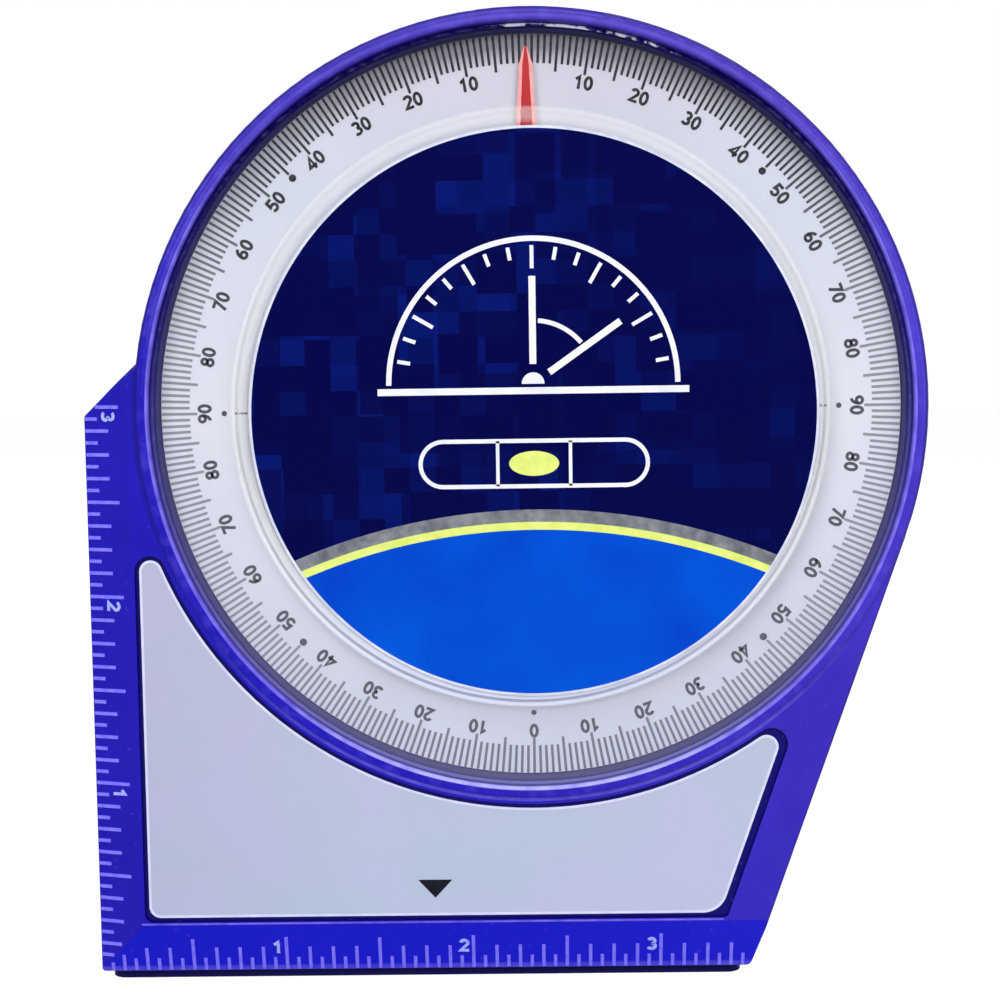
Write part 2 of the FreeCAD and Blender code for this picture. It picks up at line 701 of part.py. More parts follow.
def make_pivot():
    """Pin, the washer behind the hub and the ring in front of it."""
    rear = f"({PIN_BOSS_REAR} + pin_end_gap)"
    turned_body("pivot_pin", [(rear, "0"), (PIN_FRONT, "0"), (PIN_FRONT, "pin_radius"), (rear, "pin_radius")])
    sleeve("thrust_washer", PIN_BOSS_FRONT, WASHER_FRONT, "pin_radius + running_gap", "washer_radius")
    sleeve("retaining_ring", RING_REAR, f"({RING_REAR} + ring_thickness)", "pin_radius + pin_bore_gap",
           "ring_radius")


# ---- pendulum -------------------------------------------------------------------------------------

def weight_rivet_places():
    return [polar(RIVET_CIRCLE, f"{step} * weight_rivet_angle - 90") for step in WEIGHT_RIVET_STEPS]


def needle_rivet_places():
    return [("0", "pivot_height + needle_rivet_first"), ("0", "pivot_height + needle_rivet_second")]


def drill(body, forward, depth, bores):
    """Holes through a flat piece whose front lies at forward; each bore is (radius, across, up)."""
    holes = front_sketch(body, forward)
    for radius, across, up in bores:
        draw_circle(holes, radius, across, up)
    pocket(body, holes, depth)


def hanging_sector(body, rear, front, inner, outer):
    """A sector about the pivot, centred straight below it."""
    sector = turn(body, "PartDesign::Revolution", [
        (rear, f"(0 - {inner})"), (front, f"(0 - {inner})"),
        (front, f"(0 - {outer})"), (rear, f"(0 - {outer})")])
    sector.Midplane = True
    sector.setExpression("Angle", bound("weight_angle"))


def make_arm():
    """Flat plate: a hub disc, a bar up behind the needle and a fan down behind the weight."""
    body = new_body("pendulum_arm")
    hub = front_sketch(body, ARM_REAR)
    draw_circle(hub, "arm_hub_radius", "0", "pivot_height")
    pad(body, hub, "arm_thickness")
    bar = front_sketch(body, ARM_REAR)
    draw_rectangle(bar, "0 - arm_bar_width / 2", "arm_bar_width / 2", "pivot_height",
                   "pivot_height + arm_bar_reach")
    pad(body, bar, "arm_thickness")
    hanging_sector(body, ARM_REAR, NEEDLE_REAR, "bush_radius", WEIGHT_RADIUS)
    rivets = [("weight_rivet_radius + rivet_gap", across, up) for across, up in weight_rivet_places()]
    rivets += [("needle_rivet_radius + rivet_gap", across, up) for across, up in needle_rivet_places()]
    drill(body, NEEDLE_REAR, "arm_thickness",
          rivets + [("bush_radius + rivet_gap", "0", "pivot_height")])


def make_weight():
    body = new_body("pendulum_weight")
    hanging_sector(body, WEIGHT_REAR, ARM_REAR, "weight_inner_radius", WEIGHT_RADIUS)
    drill(body, ARM_REAR, "weight_thickness",
          [("weight_rivet_radius + rivet_gap", across, up) for across, up in weight_rivet_places()])


def make_pointer():
    """Long red taper with a quick point, on a round hub."""
    body = new_body("pointer")
    taper = front_sketch(body, NEEDLE_REAR)
    tip = f"(pivot_height + {NEEDLE_REACH})"
    neck = f"({tip} - needle_point_length)"
    draw_polygon(taper, [
        ("0 - needle_root_width / 2", "pivot_height"), ("needle_root_width / 2", "pivot_height"),
        ("needle_neck_width / 2", neck), ("needle_tip_width / 2", tip),
        ("0 - needle_tip_width / 2", tip), ("0 - needle_neck_width / 2", neck)])
    pad(body, taper, "needle_thickness")
    hub = front_sketch(body, NEEDLE_REAR)
    draw_circle(hub, "needle_hub_radius", "0", "pivot_height")
    pad(body, hub, "needle_thickness")
    drill(body, NEEDLE_FRONT, "needle_thickness",
          [("needle_rivet_radius + rivet_gap", across, up) for across, up in needle_rivet_places()]
          + [("bush_radius + rivet_gap", "0", "pivot_height")])


def make_bush():
    """Brass hub: arm and needle sit on its front, against a collar."""
    bore = "(pin_radius + running_gap)"
    collar_rear = f"({ARM_REAR} - bush_collar_thickness)"
    turned_body("hub_bush", [
        (BUSH_REAR, bore), (NEEDLE_FRONT, bore), (NEEDLE_FRONT, "bush_radius"), (ARM_REAR, "bush_radius"),
        (ARM_REAR, "bush_collar_radius"), (collar_rear, "bush_collar_radius"), (collar_rear, "bush_radius"),
        (BUSH_REAR, "bush_radius")])


# ---- small repeated pieces, each node a group of separate solids ----------------------------------

def depth_cylinder(radius, rear, front):
    """A cylinder along the depth axis at X = Z = 0; rear and front are counted forward."""
    return Part.makeCylinder(radius, front - rear, FreeCAD.Vector(0, -rear, 0), FreeCAD.Vector(0, -1, 0))


def depth_cone(rear_radius, front_radius, rear, front):
    return Part.makeCone(rear_radius, front_radius, front - rear, FreeCAD.Vector(0, -rear, 0),
                         FreeCAD.Vector(0, -1, 0))


def group(label, shapes):
    """One node that holds several separate solids."""
    feature = doc.addObject("Part::Feature", label)
    feature.Label = label
    feature.Shape = Part.makeCompound(shapes)
    feature.Placement = FreeCAD.Placement()


def moved(shape, place):
    copy = shape.copy()
    copy.translate(FreeCAD.Vector(place[0], 0, place[1]))
    return copy


def make_cover_screws():
    """Pan-head self-tappers with a cross recess, heads sunk in the cover."""
    seat = value(f"{REAR} + screw_sink")
    head_rear = seat - size("screw_head_height")
    radius = size("screw_radius")
    tip = seat + size("screw_length")
    screw = depth_cylinder(radius, seat, tip - radius).fuse([
        depth_cone(radius, radius / 4, tip - radius, tip),
        depth_cylinder(size("screw_head_radius"), head_rear, seat)]).removeSplitter()
    rim = [edge for edge in screw.Edges
           if abs(edge.BoundBox.YMin + head_rear) < 1e-6 and abs(edge.BoundBox.YMax + head_rear) < 1e-6]
    screw = screw.makeFillet(size("screw_head_height") / 2, rim)
    slot_length = size("screw_head_radius")
    slot_width = slot_length / 4
    slot_depth = size("screw_head_height") / 2
    for length, height in ((slot_length, slot_width), (slot_width, slot_length)):
        corner = FreeCAD.Vector(-length / 2, -head_rear - slot_depth, -height / 2)
        screw = screw.cut(Part.makeBox(length, slot_depth, height, corner))
    places = [(value(across), value(up)) for across, up in screw_places()]
    group("cover_screws", [moved(screw, place) for place in places])


def rivet(radius, head_radius, head_height, rear, front):
    """A rivet set through plates that lie between rear and front, with a low head on each side."""
    return depth_cylinder(radius, rear, front).fuse([
        depth_cone(head_radius * 0.75, head_radius, rear - head_height, rear),
        depth_cone(head_radius, head_radius * 0.75, front, front + head_height)]).removeSplitter()


def make_rivets():
    big = rivet(size("weight_rivet_radius"), size("weight_rivet_head_radius"),
                size("weight_rivet_head_height"), value(WEIGHT_REAR), value(NEEDLE_REAR))
    small = rivet(size("needle_rivet_radius"), size("needle_rivet_head_radius"),
                  size("needle_rivet_head_height"), value(ARM_REAR), value(NEEDLE_FRONT))
    for label, shape, places in (("weight_rivets", big, weight_rivet_places()),
                                 ("pointer_rivets", small, needle_rivet_places())):
        group(label, [moved(shape, (value(across), value(up))) for across, up in places])


# ---- printed and moulded graduations --------------------------------------------------------------

def make_dial_graduations():
    """A mark at every degree, longer at every fifth, printed on the dial face."""
    thickness = size("mark_thickness")
    pivot = FreeCAD.Vector(0, 0, size("pivot_height"))
    marks = []
    for degree in range(DIAL_DEGREES):
        length = size("long_mark_length" if degree % LONG_MARK_EVERY == 0 else "mark_length")
        corner = FreeCAD.Vector(-size("mark_width") / 2, -value(DIAL_FRONT) - thickness,
                                value(f"pivot_height + {MARK_OUTER}") - length)
        mark = Part.makeBox(size("mark_width"), thickness, length, corner)
        mark.rotate(pivot, FreeCAD.Vector(0, 1, 0), degree)
        marks.append(mark)
    group("dial_graduations", marks)


def rule_mark_length(count):
    """Length of the mark at so many sixteenths of an inch."""
    if count % INCH_PARTS == 0:
        return size("rule_inch_length")
    if count % (INCH_PARTS // 2) == 0:
        return size("rule_half_length")
    if count % 2 == 0:
        return size("rule_eighth_length")
    return size("rule_sixteenth_length")


def rule_mark(start, length, origin, along, outward):
    """A thin bar on a bevel, from start to start + length up the slope."""
    bar = Part.makeBox(size("rule_mark_width"), length, size("rule_mark_thickness"),
                       FreeCAD.Vector(-size("rule_mark_width") / 2, start, 0))
    across = along.cross(outward)
    bar.Placement = FreeCAD.Placement(FreeCAD.Matrix(
        across.x, along.x, outward.x, origin.x,
        across.y, along.y, outward.y, origin.y,
        across.z, along.z, outward.z, origin.z,
        0, 0, 0, 1))
    return bar


def make_rule_marks():
    """Sixteenths of an inch along the base and up the left side, short of the mitre, foot and shoulder."""
    base_width = size("base_bevel_width")
    side_width = size("side_bevel_width")
    drop = size("bevel_drop")
    base_slope = math.hypot(base_width, drop)
    side_slope = math.hypot(side_width, drop)
    edge_depth = drop - value(FRAME_FRONT)
    step = size("inch") / INCH_PARTS
    heel = value(FRAME_LEFT)
    lift = size("base_lift")
    gap = size("rule_edge_gap")
    share = size("rule_mitre_share")
    foot = value(flank_across("foot_corner_radius", "base_lift"))
    base_along = FreeCAD.Vector(0, -drop / base_slope, base_width / base_slope)
    base_outward = FreeCAD.Vector(0, -base_width / base_slope, -drop / base_slope)
    base_marks = []
    for count in range(1, int((foot - heel) / step) + 1):
        length = min(rule_mark_length(count), share * count * step)
        origin = FreeCAD.Vector(heel + count * step, edge_depth, lift)
        base_marks.append(rule_mark(gap, length, origin, base_along, base_outward))
    side_along = FreeCAD.Vector(side_width / side_slope, -drop / side_slope, 0)
    side_outward = FreeCAD.Vector(-drop / side_slope, -side_width / side_slope, 0)
    side_marks = []
    rise = math.tan(math.radians(size("shoulder_angle")))
    corner_top = value(FRAME_LEFT_TOP)
    for count in range(1, int((corner_top - lift + side_width) / step)):
        level = lift + size("side_rule_zero") + count * step
        start = gap + max(0, (level - corner_top) / rise + gap) * side_slope / side_width
        length = min(rule_mark_length(count), share * (level - lift))
        if level < corner_top + size("rule_inch_length") * rise and start < length:
            origin = FreeCAD.Vector(heel, edge_depth, level)
            side_marks.append(rule_mark(start, length - start + gap, origin, side_along, side_outward))
    group("base_rule_marks", base_marks)
    group("side_rule_marks", side_marks)


# ---- the whole instrument -------------------------------------------------------------------------

def check(condition, message):
    if not condition:
        raise RuntimeError(message)


def check_document():
    """No feature has failed, and every cut takes material away."""
    for item in doc.Objects:
        check("Invalid" not in item.State and "Error" not in item.State, f"{item.Label} failed: {item.State}")
        if item.TypeId in ("PartDesign::Pocket", "PartDesign::Groove"):
            check(item.Shape.Volume < item.BaseFeature.Shape.Volume, f"{item.Label} cuts nothing")
        if item.TypeId in ("PartDesign::Body", "Part::Feature"):
            check(not item.Shape.isNull() and item.Shape.isValid(), f"{item.Label} has no valid shape")


def write_parts():
    os.makedirs("parts", exist_ok=True)
    for item in doc.Objects:
        if item.TypeId in ("PartDesign::Body", "Part::Feature") and not item.getParentGeoFeatureGroup():
            item.Shape.exportStep(f"parts/{item.Label}.step")
            box = item.Shape.BoundBox
            print(f"{item.Label:24s} solids {len(item.Shape.Solids):3d} volume {item.Shape.Volume:10.1f}"
                  f" X {box.XMin:7.2f} {box.XMax:7.2f} Y {box.YMin:7.2f} {box.YMax:7.2f}"
                  f" Z {box.ZMin:7.2f} {box.ZMax:7.2f}")


make_housing_shell()
make_rear_cover()
make_cover_screws()
make_magnet()
make_dial()
make_dial_graduations()
make_lens()
make_labels()
make_rule_marks()
make_pivot()
make_arm()
make_weight()
make_pointer()
make_bush()
make_rivets()
doc.recompute()
check_document()
write_parts()
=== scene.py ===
"""Looks of the magnetic-base inclinometer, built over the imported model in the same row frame."""

import math
from functools import cached_property

import bmesh
import bpy
from mathutils import Matrix, Vector


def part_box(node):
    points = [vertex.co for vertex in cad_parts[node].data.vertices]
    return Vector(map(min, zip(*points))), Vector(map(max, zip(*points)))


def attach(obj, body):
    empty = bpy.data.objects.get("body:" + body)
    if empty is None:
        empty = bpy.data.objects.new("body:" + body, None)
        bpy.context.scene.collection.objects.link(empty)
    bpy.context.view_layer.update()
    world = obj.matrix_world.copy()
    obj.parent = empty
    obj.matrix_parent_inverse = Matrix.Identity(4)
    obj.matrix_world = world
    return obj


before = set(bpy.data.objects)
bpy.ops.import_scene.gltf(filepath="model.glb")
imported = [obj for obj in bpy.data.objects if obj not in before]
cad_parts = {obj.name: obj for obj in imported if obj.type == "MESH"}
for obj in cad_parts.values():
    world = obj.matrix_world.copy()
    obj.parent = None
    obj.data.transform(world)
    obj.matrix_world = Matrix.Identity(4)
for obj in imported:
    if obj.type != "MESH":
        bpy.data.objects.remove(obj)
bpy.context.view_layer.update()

MM = 0.001

# ---- sizes and places, in millimetres ----------------------------------------


def place_of(node):
    """Lowest and highest corner of a solid, as (across, depth, up) in millimetres; forward is minus depth."""
    return tuple(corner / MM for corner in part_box(node))


HOUSING_LOW, HOUSING_HIGH = place_of("housing_shell")
FRAME_LEFT = HOUSING_LOW.x
BASE_LIFT = HOUSING_LOW.z
DRUM_RADIUS = HOUSING_HIGH.x
PIVOT = sum(place_of("pivot_pin"), Vector()).z / 2
DIAL_FRONT = -place_of("dial_face")[0].y
LENS_RADIUS = place_of("lens")[1].x
LABEL_LOW, LABEL_HIGH = place_of("centre_label")
LABEL_FRONT = -LABEL_LOW.y
LABEL_RADIUS = (LABEL_HIGH.x - LABEL_LOW.x) / 2
LABEL_CENTRE = ((LABEL_LOW.x + LABEL_HIGH.x) / 2, (LABEL_LOW.z + LABEL_HIGH.z) / 2)
PANEL_LOW, PANEL_HIGH = place_of("panel_label")
PANEL_FRONT = -PANEL_LOW.y
POINTER_LOW, POINTER_HIGH = place_of("pointer")

# Sizes that no solid's box gives: the part's own, or worked out from them.
FRAME_FRONT = 12.7  # how far forward the lower frame's face is
BASE_BEVEL = 6.9  # width of the bevel along the base
SIDE_BEVEL = 6.1  # width of the bevel along the left side
BEVEL_DROP = 2.0  # how far both bevels fall back
RIM_WIDTH = 1.85  # from the drum's outside to its mouth
FLANK_ANGLE = 19.34  # lean of the right side, in degrees
LENS_SLOPE = 38.85  # radius halfway down the slope of the lens's raised middle
NEEDLE_ROOT = 5.8  # the needle's width at the pivot
NEEDLE_NECK = 0.93  # its width where the point begins
NEEDLE_POINT = 2.3  # length of that point
SIDE_RULE_ZERO = 0.85  # the left rule's zero above the base
INCH = 25.4

MOUTH_RADIUS = DRUM_RADIUS - RIM_WIDTH
BEVEL_TOP = BASE_LIFT + BASE_BEVEL
BEVEL_RIGHT = FRAME_LEFT + SIDE_BEVEL
BEVEL_EDGE = FRAME_FRONT - BEVEL_DROP

# ---- mesh helpers ------------------------------------------------------------

SAME = 1e-6  # lengths that differ by less are taken as one
PRINT = 0.03  # thickness of a printed layer
BLUNTEST_MITRE = 0.5  # a line is at most twice as wide across a sharp corner
DIGIT_PITCH = 0.74  # from one digit's middle to the next, as a share of their height


def add_piece(name, mesh, kind, body="housing"):
    """Turns a bmesh into a piece of the scene that rides on a body."""
    bmesh.ops.recalc_face_normals(mesh, faces=mesh.faces)
    data = bpy.data.meshes.new(name)
    mesh.to_mesh(data)
    mesh.free()
    data.materials.append(MATERIALS[kind])
    piece = bpy.data.objects.new(name, data)
    bpy.context.scene.collection.objects.link(piece)
    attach(piece, body)


def plane_at(origin, across, up):
    """Matrix from a drawing plane to the row frame, in millimetres; the plane's normal is across x up."""
    turned = Matrix((across, up, across.cross(up))).transposed().to_4x4()
    return Matrix.Translation(origin) @ turned


def front_plane(forward):
    """Drawing plane that faces the dial side: across is X, up is Z."""
    return plane_at(Vector((0, -forward, 0)), Vector((1, 0, 0)), Vector((0, 0, 1)))


def lifted(mesh, points, place, rise):
    """New vertices for points of a drawing plane, at a height above it."""
    return [mesh.verts.new(place @ Vector((*point, rise)) * MM) for point in points]


def join_rings(mesh, rings, closed=False):
    """Faces from each ring of vertices to the next, and a cap at both ends unless the rings close."""
    for near, far in zip(rings, rings[1:] + rings[:1] if closed else rings[1:]):
        for turn in range(len(near)):
            after = (turn + 1) % len(near)
            mesh.faces.new((near[turn], near[after], far[after], far[turn]))
    if not closed:
        mesh.faces.new(rings[0])
        mesh.faces.new(rings[-1])


def opened(path):
    """A path's points, without the last one where it only repeats the first."""
    repeats = (Vector(path[0]) - Vector(path[-1])).length < SAME
    return path[:-1] if repeats else path


def plate(mesh, outline, place, thickness=PRINT):
    """Adds a flat plate that rises from a drawing plane."""
    points = opened(outline)
    join_rings(mesh, [lifted(mesh, points, place, rise) for rise in (0, thickness)])


def band(mesh, outer, inner, place, thickness):
    """Adds a flat frame that rises from a drawing plane, between two closed outlines with as many points."""
    corners = ((outer, 0), (outer, thickness), (inner, thickness), (inner, 0))
    join_rings(mesh, [lifted(mesh, opened(outline), place, rise) for outline, rise in corners], closed=True)


def stroke(mesh, path, width, place, thickness=PRINT):
    """Adds a raised line of even width along a path, closed where the path ends at its start."""
    points = [Vector(point) for point in opened(path)]
    count = len(points)
    closed = count < len(path)
    rings = []
    for turn, point in enumerate(points):
        before = points[turn - 1] if closed or turn > 0 else point
        after = points[(turn + 1) % count] if closed or turn < count - 1 else point
        arriving = (point - before).normalized()
        leaving = (after - point).normalized()
        along = (arriving + leaving).normalized()
        mitre = max(BLUNTEST_MITRE, along.dot(leaving if leaving.length else arriving))
        side = Vector((-along.y, along.x)) * (width / 2 / mitre)
        left, right = point + side, point - side
        rings.append(lifted(mesh, (left, right), place, 0) + lifted(mesh, (right, left), place, thickness))
    join_rings(mesh, rings, closed)


def oval(centre, across, up, start=0, end=360, steps=18):
    """Points along an upright ellipse between two angles, in degrees from the right."""
    turns = [math.radians(start + (end - start) * step / steps) for step in range(steps + 1)]
    return [(centre[0] + across * math.cos(turn), centre[1] + up * math.sin(turn)) for turn in turns]


def arc(centre, radius, start=0, end=360, steps=180):
    """Points along a circle between two angles, in degrees from the right."""
    return oval(centre, radius, radius, start, end, steps)


def turned_over(paths):
    """The same strokes turned by half a turn about the middle of the digit."""
    return [[(-across, 1 - up) for across, up in path] for path in paths]


SIX = [oval((0.0, 0.31), 0.235, 0.225), oval((0.19, 0.36), 0.425, 0.56, 98, 180)]
DIGITS = {
    "0": [oval((0.0, 0.5), 0.235, 0.42)],
    "1": [[(-0.2, 0.68), (0.06, 0.9), (0.06, 0.0)]],
    "2": [oval((0.0, 0.69), 0.235, 0.23, 165, -25) + [(-0.24, 0.08), (0.3, 0.08)]],
    "3": [oval((-0.02, 0.71), 0.22, 0.21, 150, -90), oval((-0.02, 0.29), 0.25, 0.21, 90, -150)],
    "4": [[(0.12, 0.0), (0.12, 0.92), (-0.28, 0.27), (0.33, 0.27)]],
    "5": [[(0.25, 0.92), (-0.18, 0.92), (-0.22, 0.5)] + oval((-0.01, 0.32), 0.25, 0.24, 125, -150)],
    "6": SIX,
    "7": [[(-0.27, 0.92), (0.27, 0.92), (-0.08, 0.0)]],
    "8": [oval((0.0, 0.71), 0.2, 0.205), oval((0.0, 0.29), 0.24, 0.215)],
    "9": turned_over(SIX),
}


def write_number(mesh, text, height, weight, place, stretch=1.0, thickness=PRINT):
    """Plain digits as strokes, centred on the drawing plane's origin; the weight is a share of the height."""
    for position, digit in enumerate(text):
        shift = (position - (len(text) - 1) / 2) * DIGIT_PITCH
        for path in DIGITS[digit]:
            points = [((across * stretch + shift) * height, (up - 0.5) * height) for across, up in path]
            stroke(mesh, points, weight * height, place, thickness)


# ---- material helpers --------------------------------------------------------

NOISE_LOW = 0.3  # most of a noise lies between these two
NOISE_HIGH = 0.7


class Shader:
    """A material's node tree, with short calls for what the materials here use."""

    def __init__(self, name):
        self.material = bpy.data.materials.new(name)
        self.material.use_nodes = True
        self.nodes = self.material.node_tree.nodes
        self.links = self.material.node_tree.links
        self.surface = self.nodes["Principled BSDF"]
        self.output = self.nodes["Material Output"]
        self.place = self.nodes.new("ShaderNodeTexCoord").outputs["Object"]

    def link(self, source, target):
        self.links.new(source, target)

    def feed(self, item, socket):
        """A number, a colour or another node's output for a socket."""
        if isinstance(item, (int, float)):
            socket.default_value = item
        elif isinstance(item, tuple):
            socket.default_value = (*item, 1.0)
        else:
            self.link(item, socket)

    # Places on the part, in metres

    @cached_property
    def axes(self):
        """Across, depth and up."""
        node = self.nodes.new("ShaderNodeSeparateXYZ")
        self.link(self.place, node.inputs[0])
        return node.outputs

    @cached_property
    def forward(self):
        """Distance towards the dial side."""
        return self.math("MULTIPLY", self.axes[1], -1.0)

    @cached_property
    def lift(self):
        """Height above the pivot."""
        return self.math("SUBTRACT", self.axes[2], PIVOT * MM)

    @cached_property
    def radius(self):
        """Distance from the pivot's axis."""
        across = self.axes[0]
        squares = [self.math("MULTIPLY", length, length) for length in (across, self.lift)]
        return self.math("SQRT", self.math("ADD", *squares))

    @cached_property
    def flank(self):
        """How far a point lies outside the housing's slanted right side."""
        lean = math.radians(FLANK_ANGLE)
        slanted = self.math("SUBTRACT", self.math("MULTIPLY", self.axes[0], math.cos(lean)),
                            self.math("MULTIPLY", self.lift, math.sin(lean)))
        return self.math("SUBTRACT", slanted, DRUM_RADIUS * MM)

    # Values and masks; the limits are in millimetres in climb, beyond, within and inside

    def math(self, operation, first, second=None):
        node = self.nodes.new("ShaderNodeMath")
        node.operation = operation
        self.feed(first, node.inputs[0])
        if second is not None:
            self.feed(second, node.inputs[1])
        return node.outputs[0]

    def all_of(self, first, *others):
        """The product of some masks."""
        for other in others:
            first = self.math("MULTIPLY", first, other)
        return first

    def span(self, value, low, high, to_low=0.0, to_high=1.0):
        """Runs from to_low to to_high while a value goes from low to high."""
        node = self.nodes.new("ShaderNodeMapRange")
        for name, number in (("From Min", low), ("From Max", high),
                             ("To Min", to_low), ("To Max", to_high)):
            node.inputs[name].default_value = number
        self.link(value, node.inputs["Value"])
        return node.outputs[0]

    def varied(self, noise, to_low, to_high):
        """Spreads the usual range of a noise between two numbers."""
        return self.span(noise, NOISE_LOW, NOISE_HIGH, to_low, to_high)

    def climb(self, low, high, to_low=0.0, to_high=1.0):
        """Runs from to_low to to_high between two heights above the pivot."""
        return self.span(self.axes[2], (PIVOT + low) * MM, (PIVOT + high) * MM, to_low, to_high)

    def beyond(self, value, limit, soft):
        """1 where a length is above a limit, with a soft edge below it."""
        return self.span(value, (limit - soft) * MM, limit * MM)

    def within(self, value, limit, soft):
        """1 where a length is below a limit, with a soft edge above it."""
        return self.span(value, limit * MM, (limit + soft) * MM, 1.0, 0.0)

    def inside(self, value, low, high, soft):
        """1 where a length lies between two limits, with soft edges."""
        return self.all_of(self.beyond(value, low, soft), self.within(value, high, soft))

    def noise(self, grain_mm, detail=3.0, roughness=0.5, stretch=None):
        """Noise whose blobs are about grain_mm across; stretch scales its three axes."""
        node = self.nodes.new("ShaderNodeTexNoise")
        node.inputs["Scale"].default_value = 1 / (grain_mm * MM)
        node.inputs["Detail"].default_value = detail
        node.inputs["Roughness"].default_value = roughness
        place = self.place
        if stretch:
            mapping = self.nodes.new("ShaderNodeMapping")
            mapping.inputs["Scale"].default_value = stretch
            self.link(place, mapping.inputs["Vector"])
            place = mapping.outputs["Vector"]
        self.link(place, node.inputs["Vector"])
        return node.outputs["Fac"]

    # Colours and the surface

    def ramp(self, value, stops):
        """A colour for each value: stops are (position, colour)."""
        node = self.nodes.new("ShaderNodeValToRGB")
        elements = node.color_ramp.elements
        while len(elements) < len(stops):
            elements.new(0.5)
        for element, (position, colour) in zip(elements, stops):
            element.position = position
            element.color = (*colour, 1.0)
        self.link(value, node.inputs["Fac"])
        return node.outputs["Color"]

    def clouded(self, noise, dark, light):
        """Two colours that take turns with a noise."""
        return self.ramp(noise, [(NOISE_LOW, dark), (NOISE_HIGH, light)])

    def mix(self, factor, first, second):
        """Two colours mixed; 0, 6 and 7 are the Mix node's factor and colours, and output 2 is its colour."""
        node = self.nodes.new("ShaderNodeMix")
        node.data_type = "RGBA"
        for index, item in ((0, factor), (6, first), (7, second)):
            self.feed(item, node.inputs[index])
        return node.outputs[2]

    def bump(self, height, depth_mm, strength, onto=None):
        """Unevenness of the surface, laid over an earlier one if onto is given."""
        node = self.nodes.new("ShaderNodeBump")
        node.inputs["Strength"].default_value = strength
        node.inputs["Distance"].default_value = depth_mm * MM
        self.link(height, node.inputs["Height"])
        if onto is not None:
            self.link(onto, node.inputs["Normal"])
        self.link(node.outputs["Normal"], self.surface.inputs["Normal"])
        return node.outputs["Normal"]

    def set(self, **values):
        """Values and colours of the shader's own sockets; base_color=... sets Base Color."""
        for name, item in values.items():
            self.feed(item, self.surface.inputs[name.replace("_", " ").title().replace("Ior", "IOR")])

    def let_lamps_through(self, tint):
        """Light reaches what lies behind once: shadow and diffuse rays meet a faint tint, not the glass."""
        path = self.nodes.new("ShaderNodeLightPath")
        clear = self.nodes.new("ShaderNodeBsdfTransparent")
        clear.inputs["Color"].default_value = (*tint, 1.0)
        mixer = self.nodes.new("ShaderNodeMixShader")
        straight = self.math("MAXIMUM", path.outputs["Is Shadow Ray"], path.outputs["Is Diffuse Ray"])
        self.link(straight, mixer.inputs[0])
        self.link(self.surface.outputs[0], mixer.inputs[1])
        self.link(clear.outputs[0], mixer.inputs[2])
        self.link(mixer.outputs[0], self.output.inputs["Surface"])


def srgb(red, green, blue):
    """A display colour, 0 to 255, as linear light."""
    return tuple(value / 255 / 12.92 if value / 255 <= 0.04045 else ((value / 255 + 0.055) / 1.055) ** 2.4
                 for value in (red, green, blue))


# ---- the housing's plastic ---------------------------------------------------

# colours of the painted highlights along the housing's edges
EDGE_HIGHLIGHT = srgb(136, 124, 244)
BELLY_HIGHLIGHT = srgb(136, 130, 255)
CREST_HIGHLIGHT = srgb(188, 188, 255)
CREASE_INSET = 7.4  # the crease's painted highlight ends this far left of the panel label's right end


def moulding_colour(shader):
    """Cloudy blue with a painted sheen: more violet to the upper right and greyer towards the top."""
    cloud = shader.noise(16.0, detail=4.0)
    deep = shader.clouded(cloud, srgb(24, 16, 168), srgb(32, 22, 182))
    violet = shader.clouded(cloud, srgb(58, 42, 178), srgb(68, 52, 192))
    slant = shader.math("ADD", shader.axes[0], shader.math("MULTIPLY", shader.lift, 0.5))
    colour = shader.mix(shader.span(slant, -45 * MM, 35 * MM), deep, violet)
    return shader.mix(shader.climb(8, 45, 0.0, 0.35), colour, srgb(70, 54, 128))


def on_base_bevel(shader):
    """1 on the bevel along the base, up to the mitre where the left side's bevel meets it."""
    across, _, up = shader.axes
    beside = shader.span(across, FRAME_LEFT * MM, BEVEL_RIGHT * MM)
    above = shader.span(up, BASE_LIFT * MM, BEVEL_TOP * MM)
    return shader.all_of(shader.inside(up, BASE_LIFT - 1, BEVEL_TOP - 0.1, 0.2),
                         shader.inside(shader.forward, BEVEL_EDGE - 0.1, FRAME_FRONT, 0.1),
                         shader.span(shader.math("SUBTRACT", beside, above), -0.02, 0.02))


def on_outer_corner(shader):
    """1 on the front corner of the slanted right side and on the drum's, except low on the drum."""
    flank = shader.all_of(shader.beyond(shader.flank, -0.2, 0.1),
                          shader.beyond(shader.forward, FRAME_FRONT - 0.3, 0.2))
    drum = shader.all_of(shader.inside(shader.radius, DRUM_RADIUS - 0.3, DRUM_RADIUS + 0.1, 0.3),
                         shader.beyond(shader.forward, FRAME_FRONT - 0.4, 0.2),
                         shader.climb(-30, -5))
    return shader.math("MAXIMUM", flank, drum)


def in_throat(shader):
    """1 on the drum's inner wall, from just behind the dial forwards."""
    return shader.all_of(shader.within(shader.radius, MOUTH_RADIUS - 0.25, 0.1),
                         shader.beyond(shader.forward, DIAL_FRONT - 1.5, 0.1))


def in_panel_recess(shader):
    """1 on the walls of the recess round the panel label, and on the floor beside it."""
    across, _, up = shader.axes
    soft = 0.08
    return shader.all_of(shader.inside(shader.forward, PANEL_FRONT - 0.35, FRAME_FRONT - 0.06, 0.04),
                         shader.beyond(shader.radius, DRUM_RADIUS + 0.25, soft),
                         shader.beyond(up, BEVEL_TOP + 0.15, soft),
                         shader.beyond(across, BEVEL_RIGHT + 0.15, soft),
                         shader.within(shader.flank, -1.0, soft))


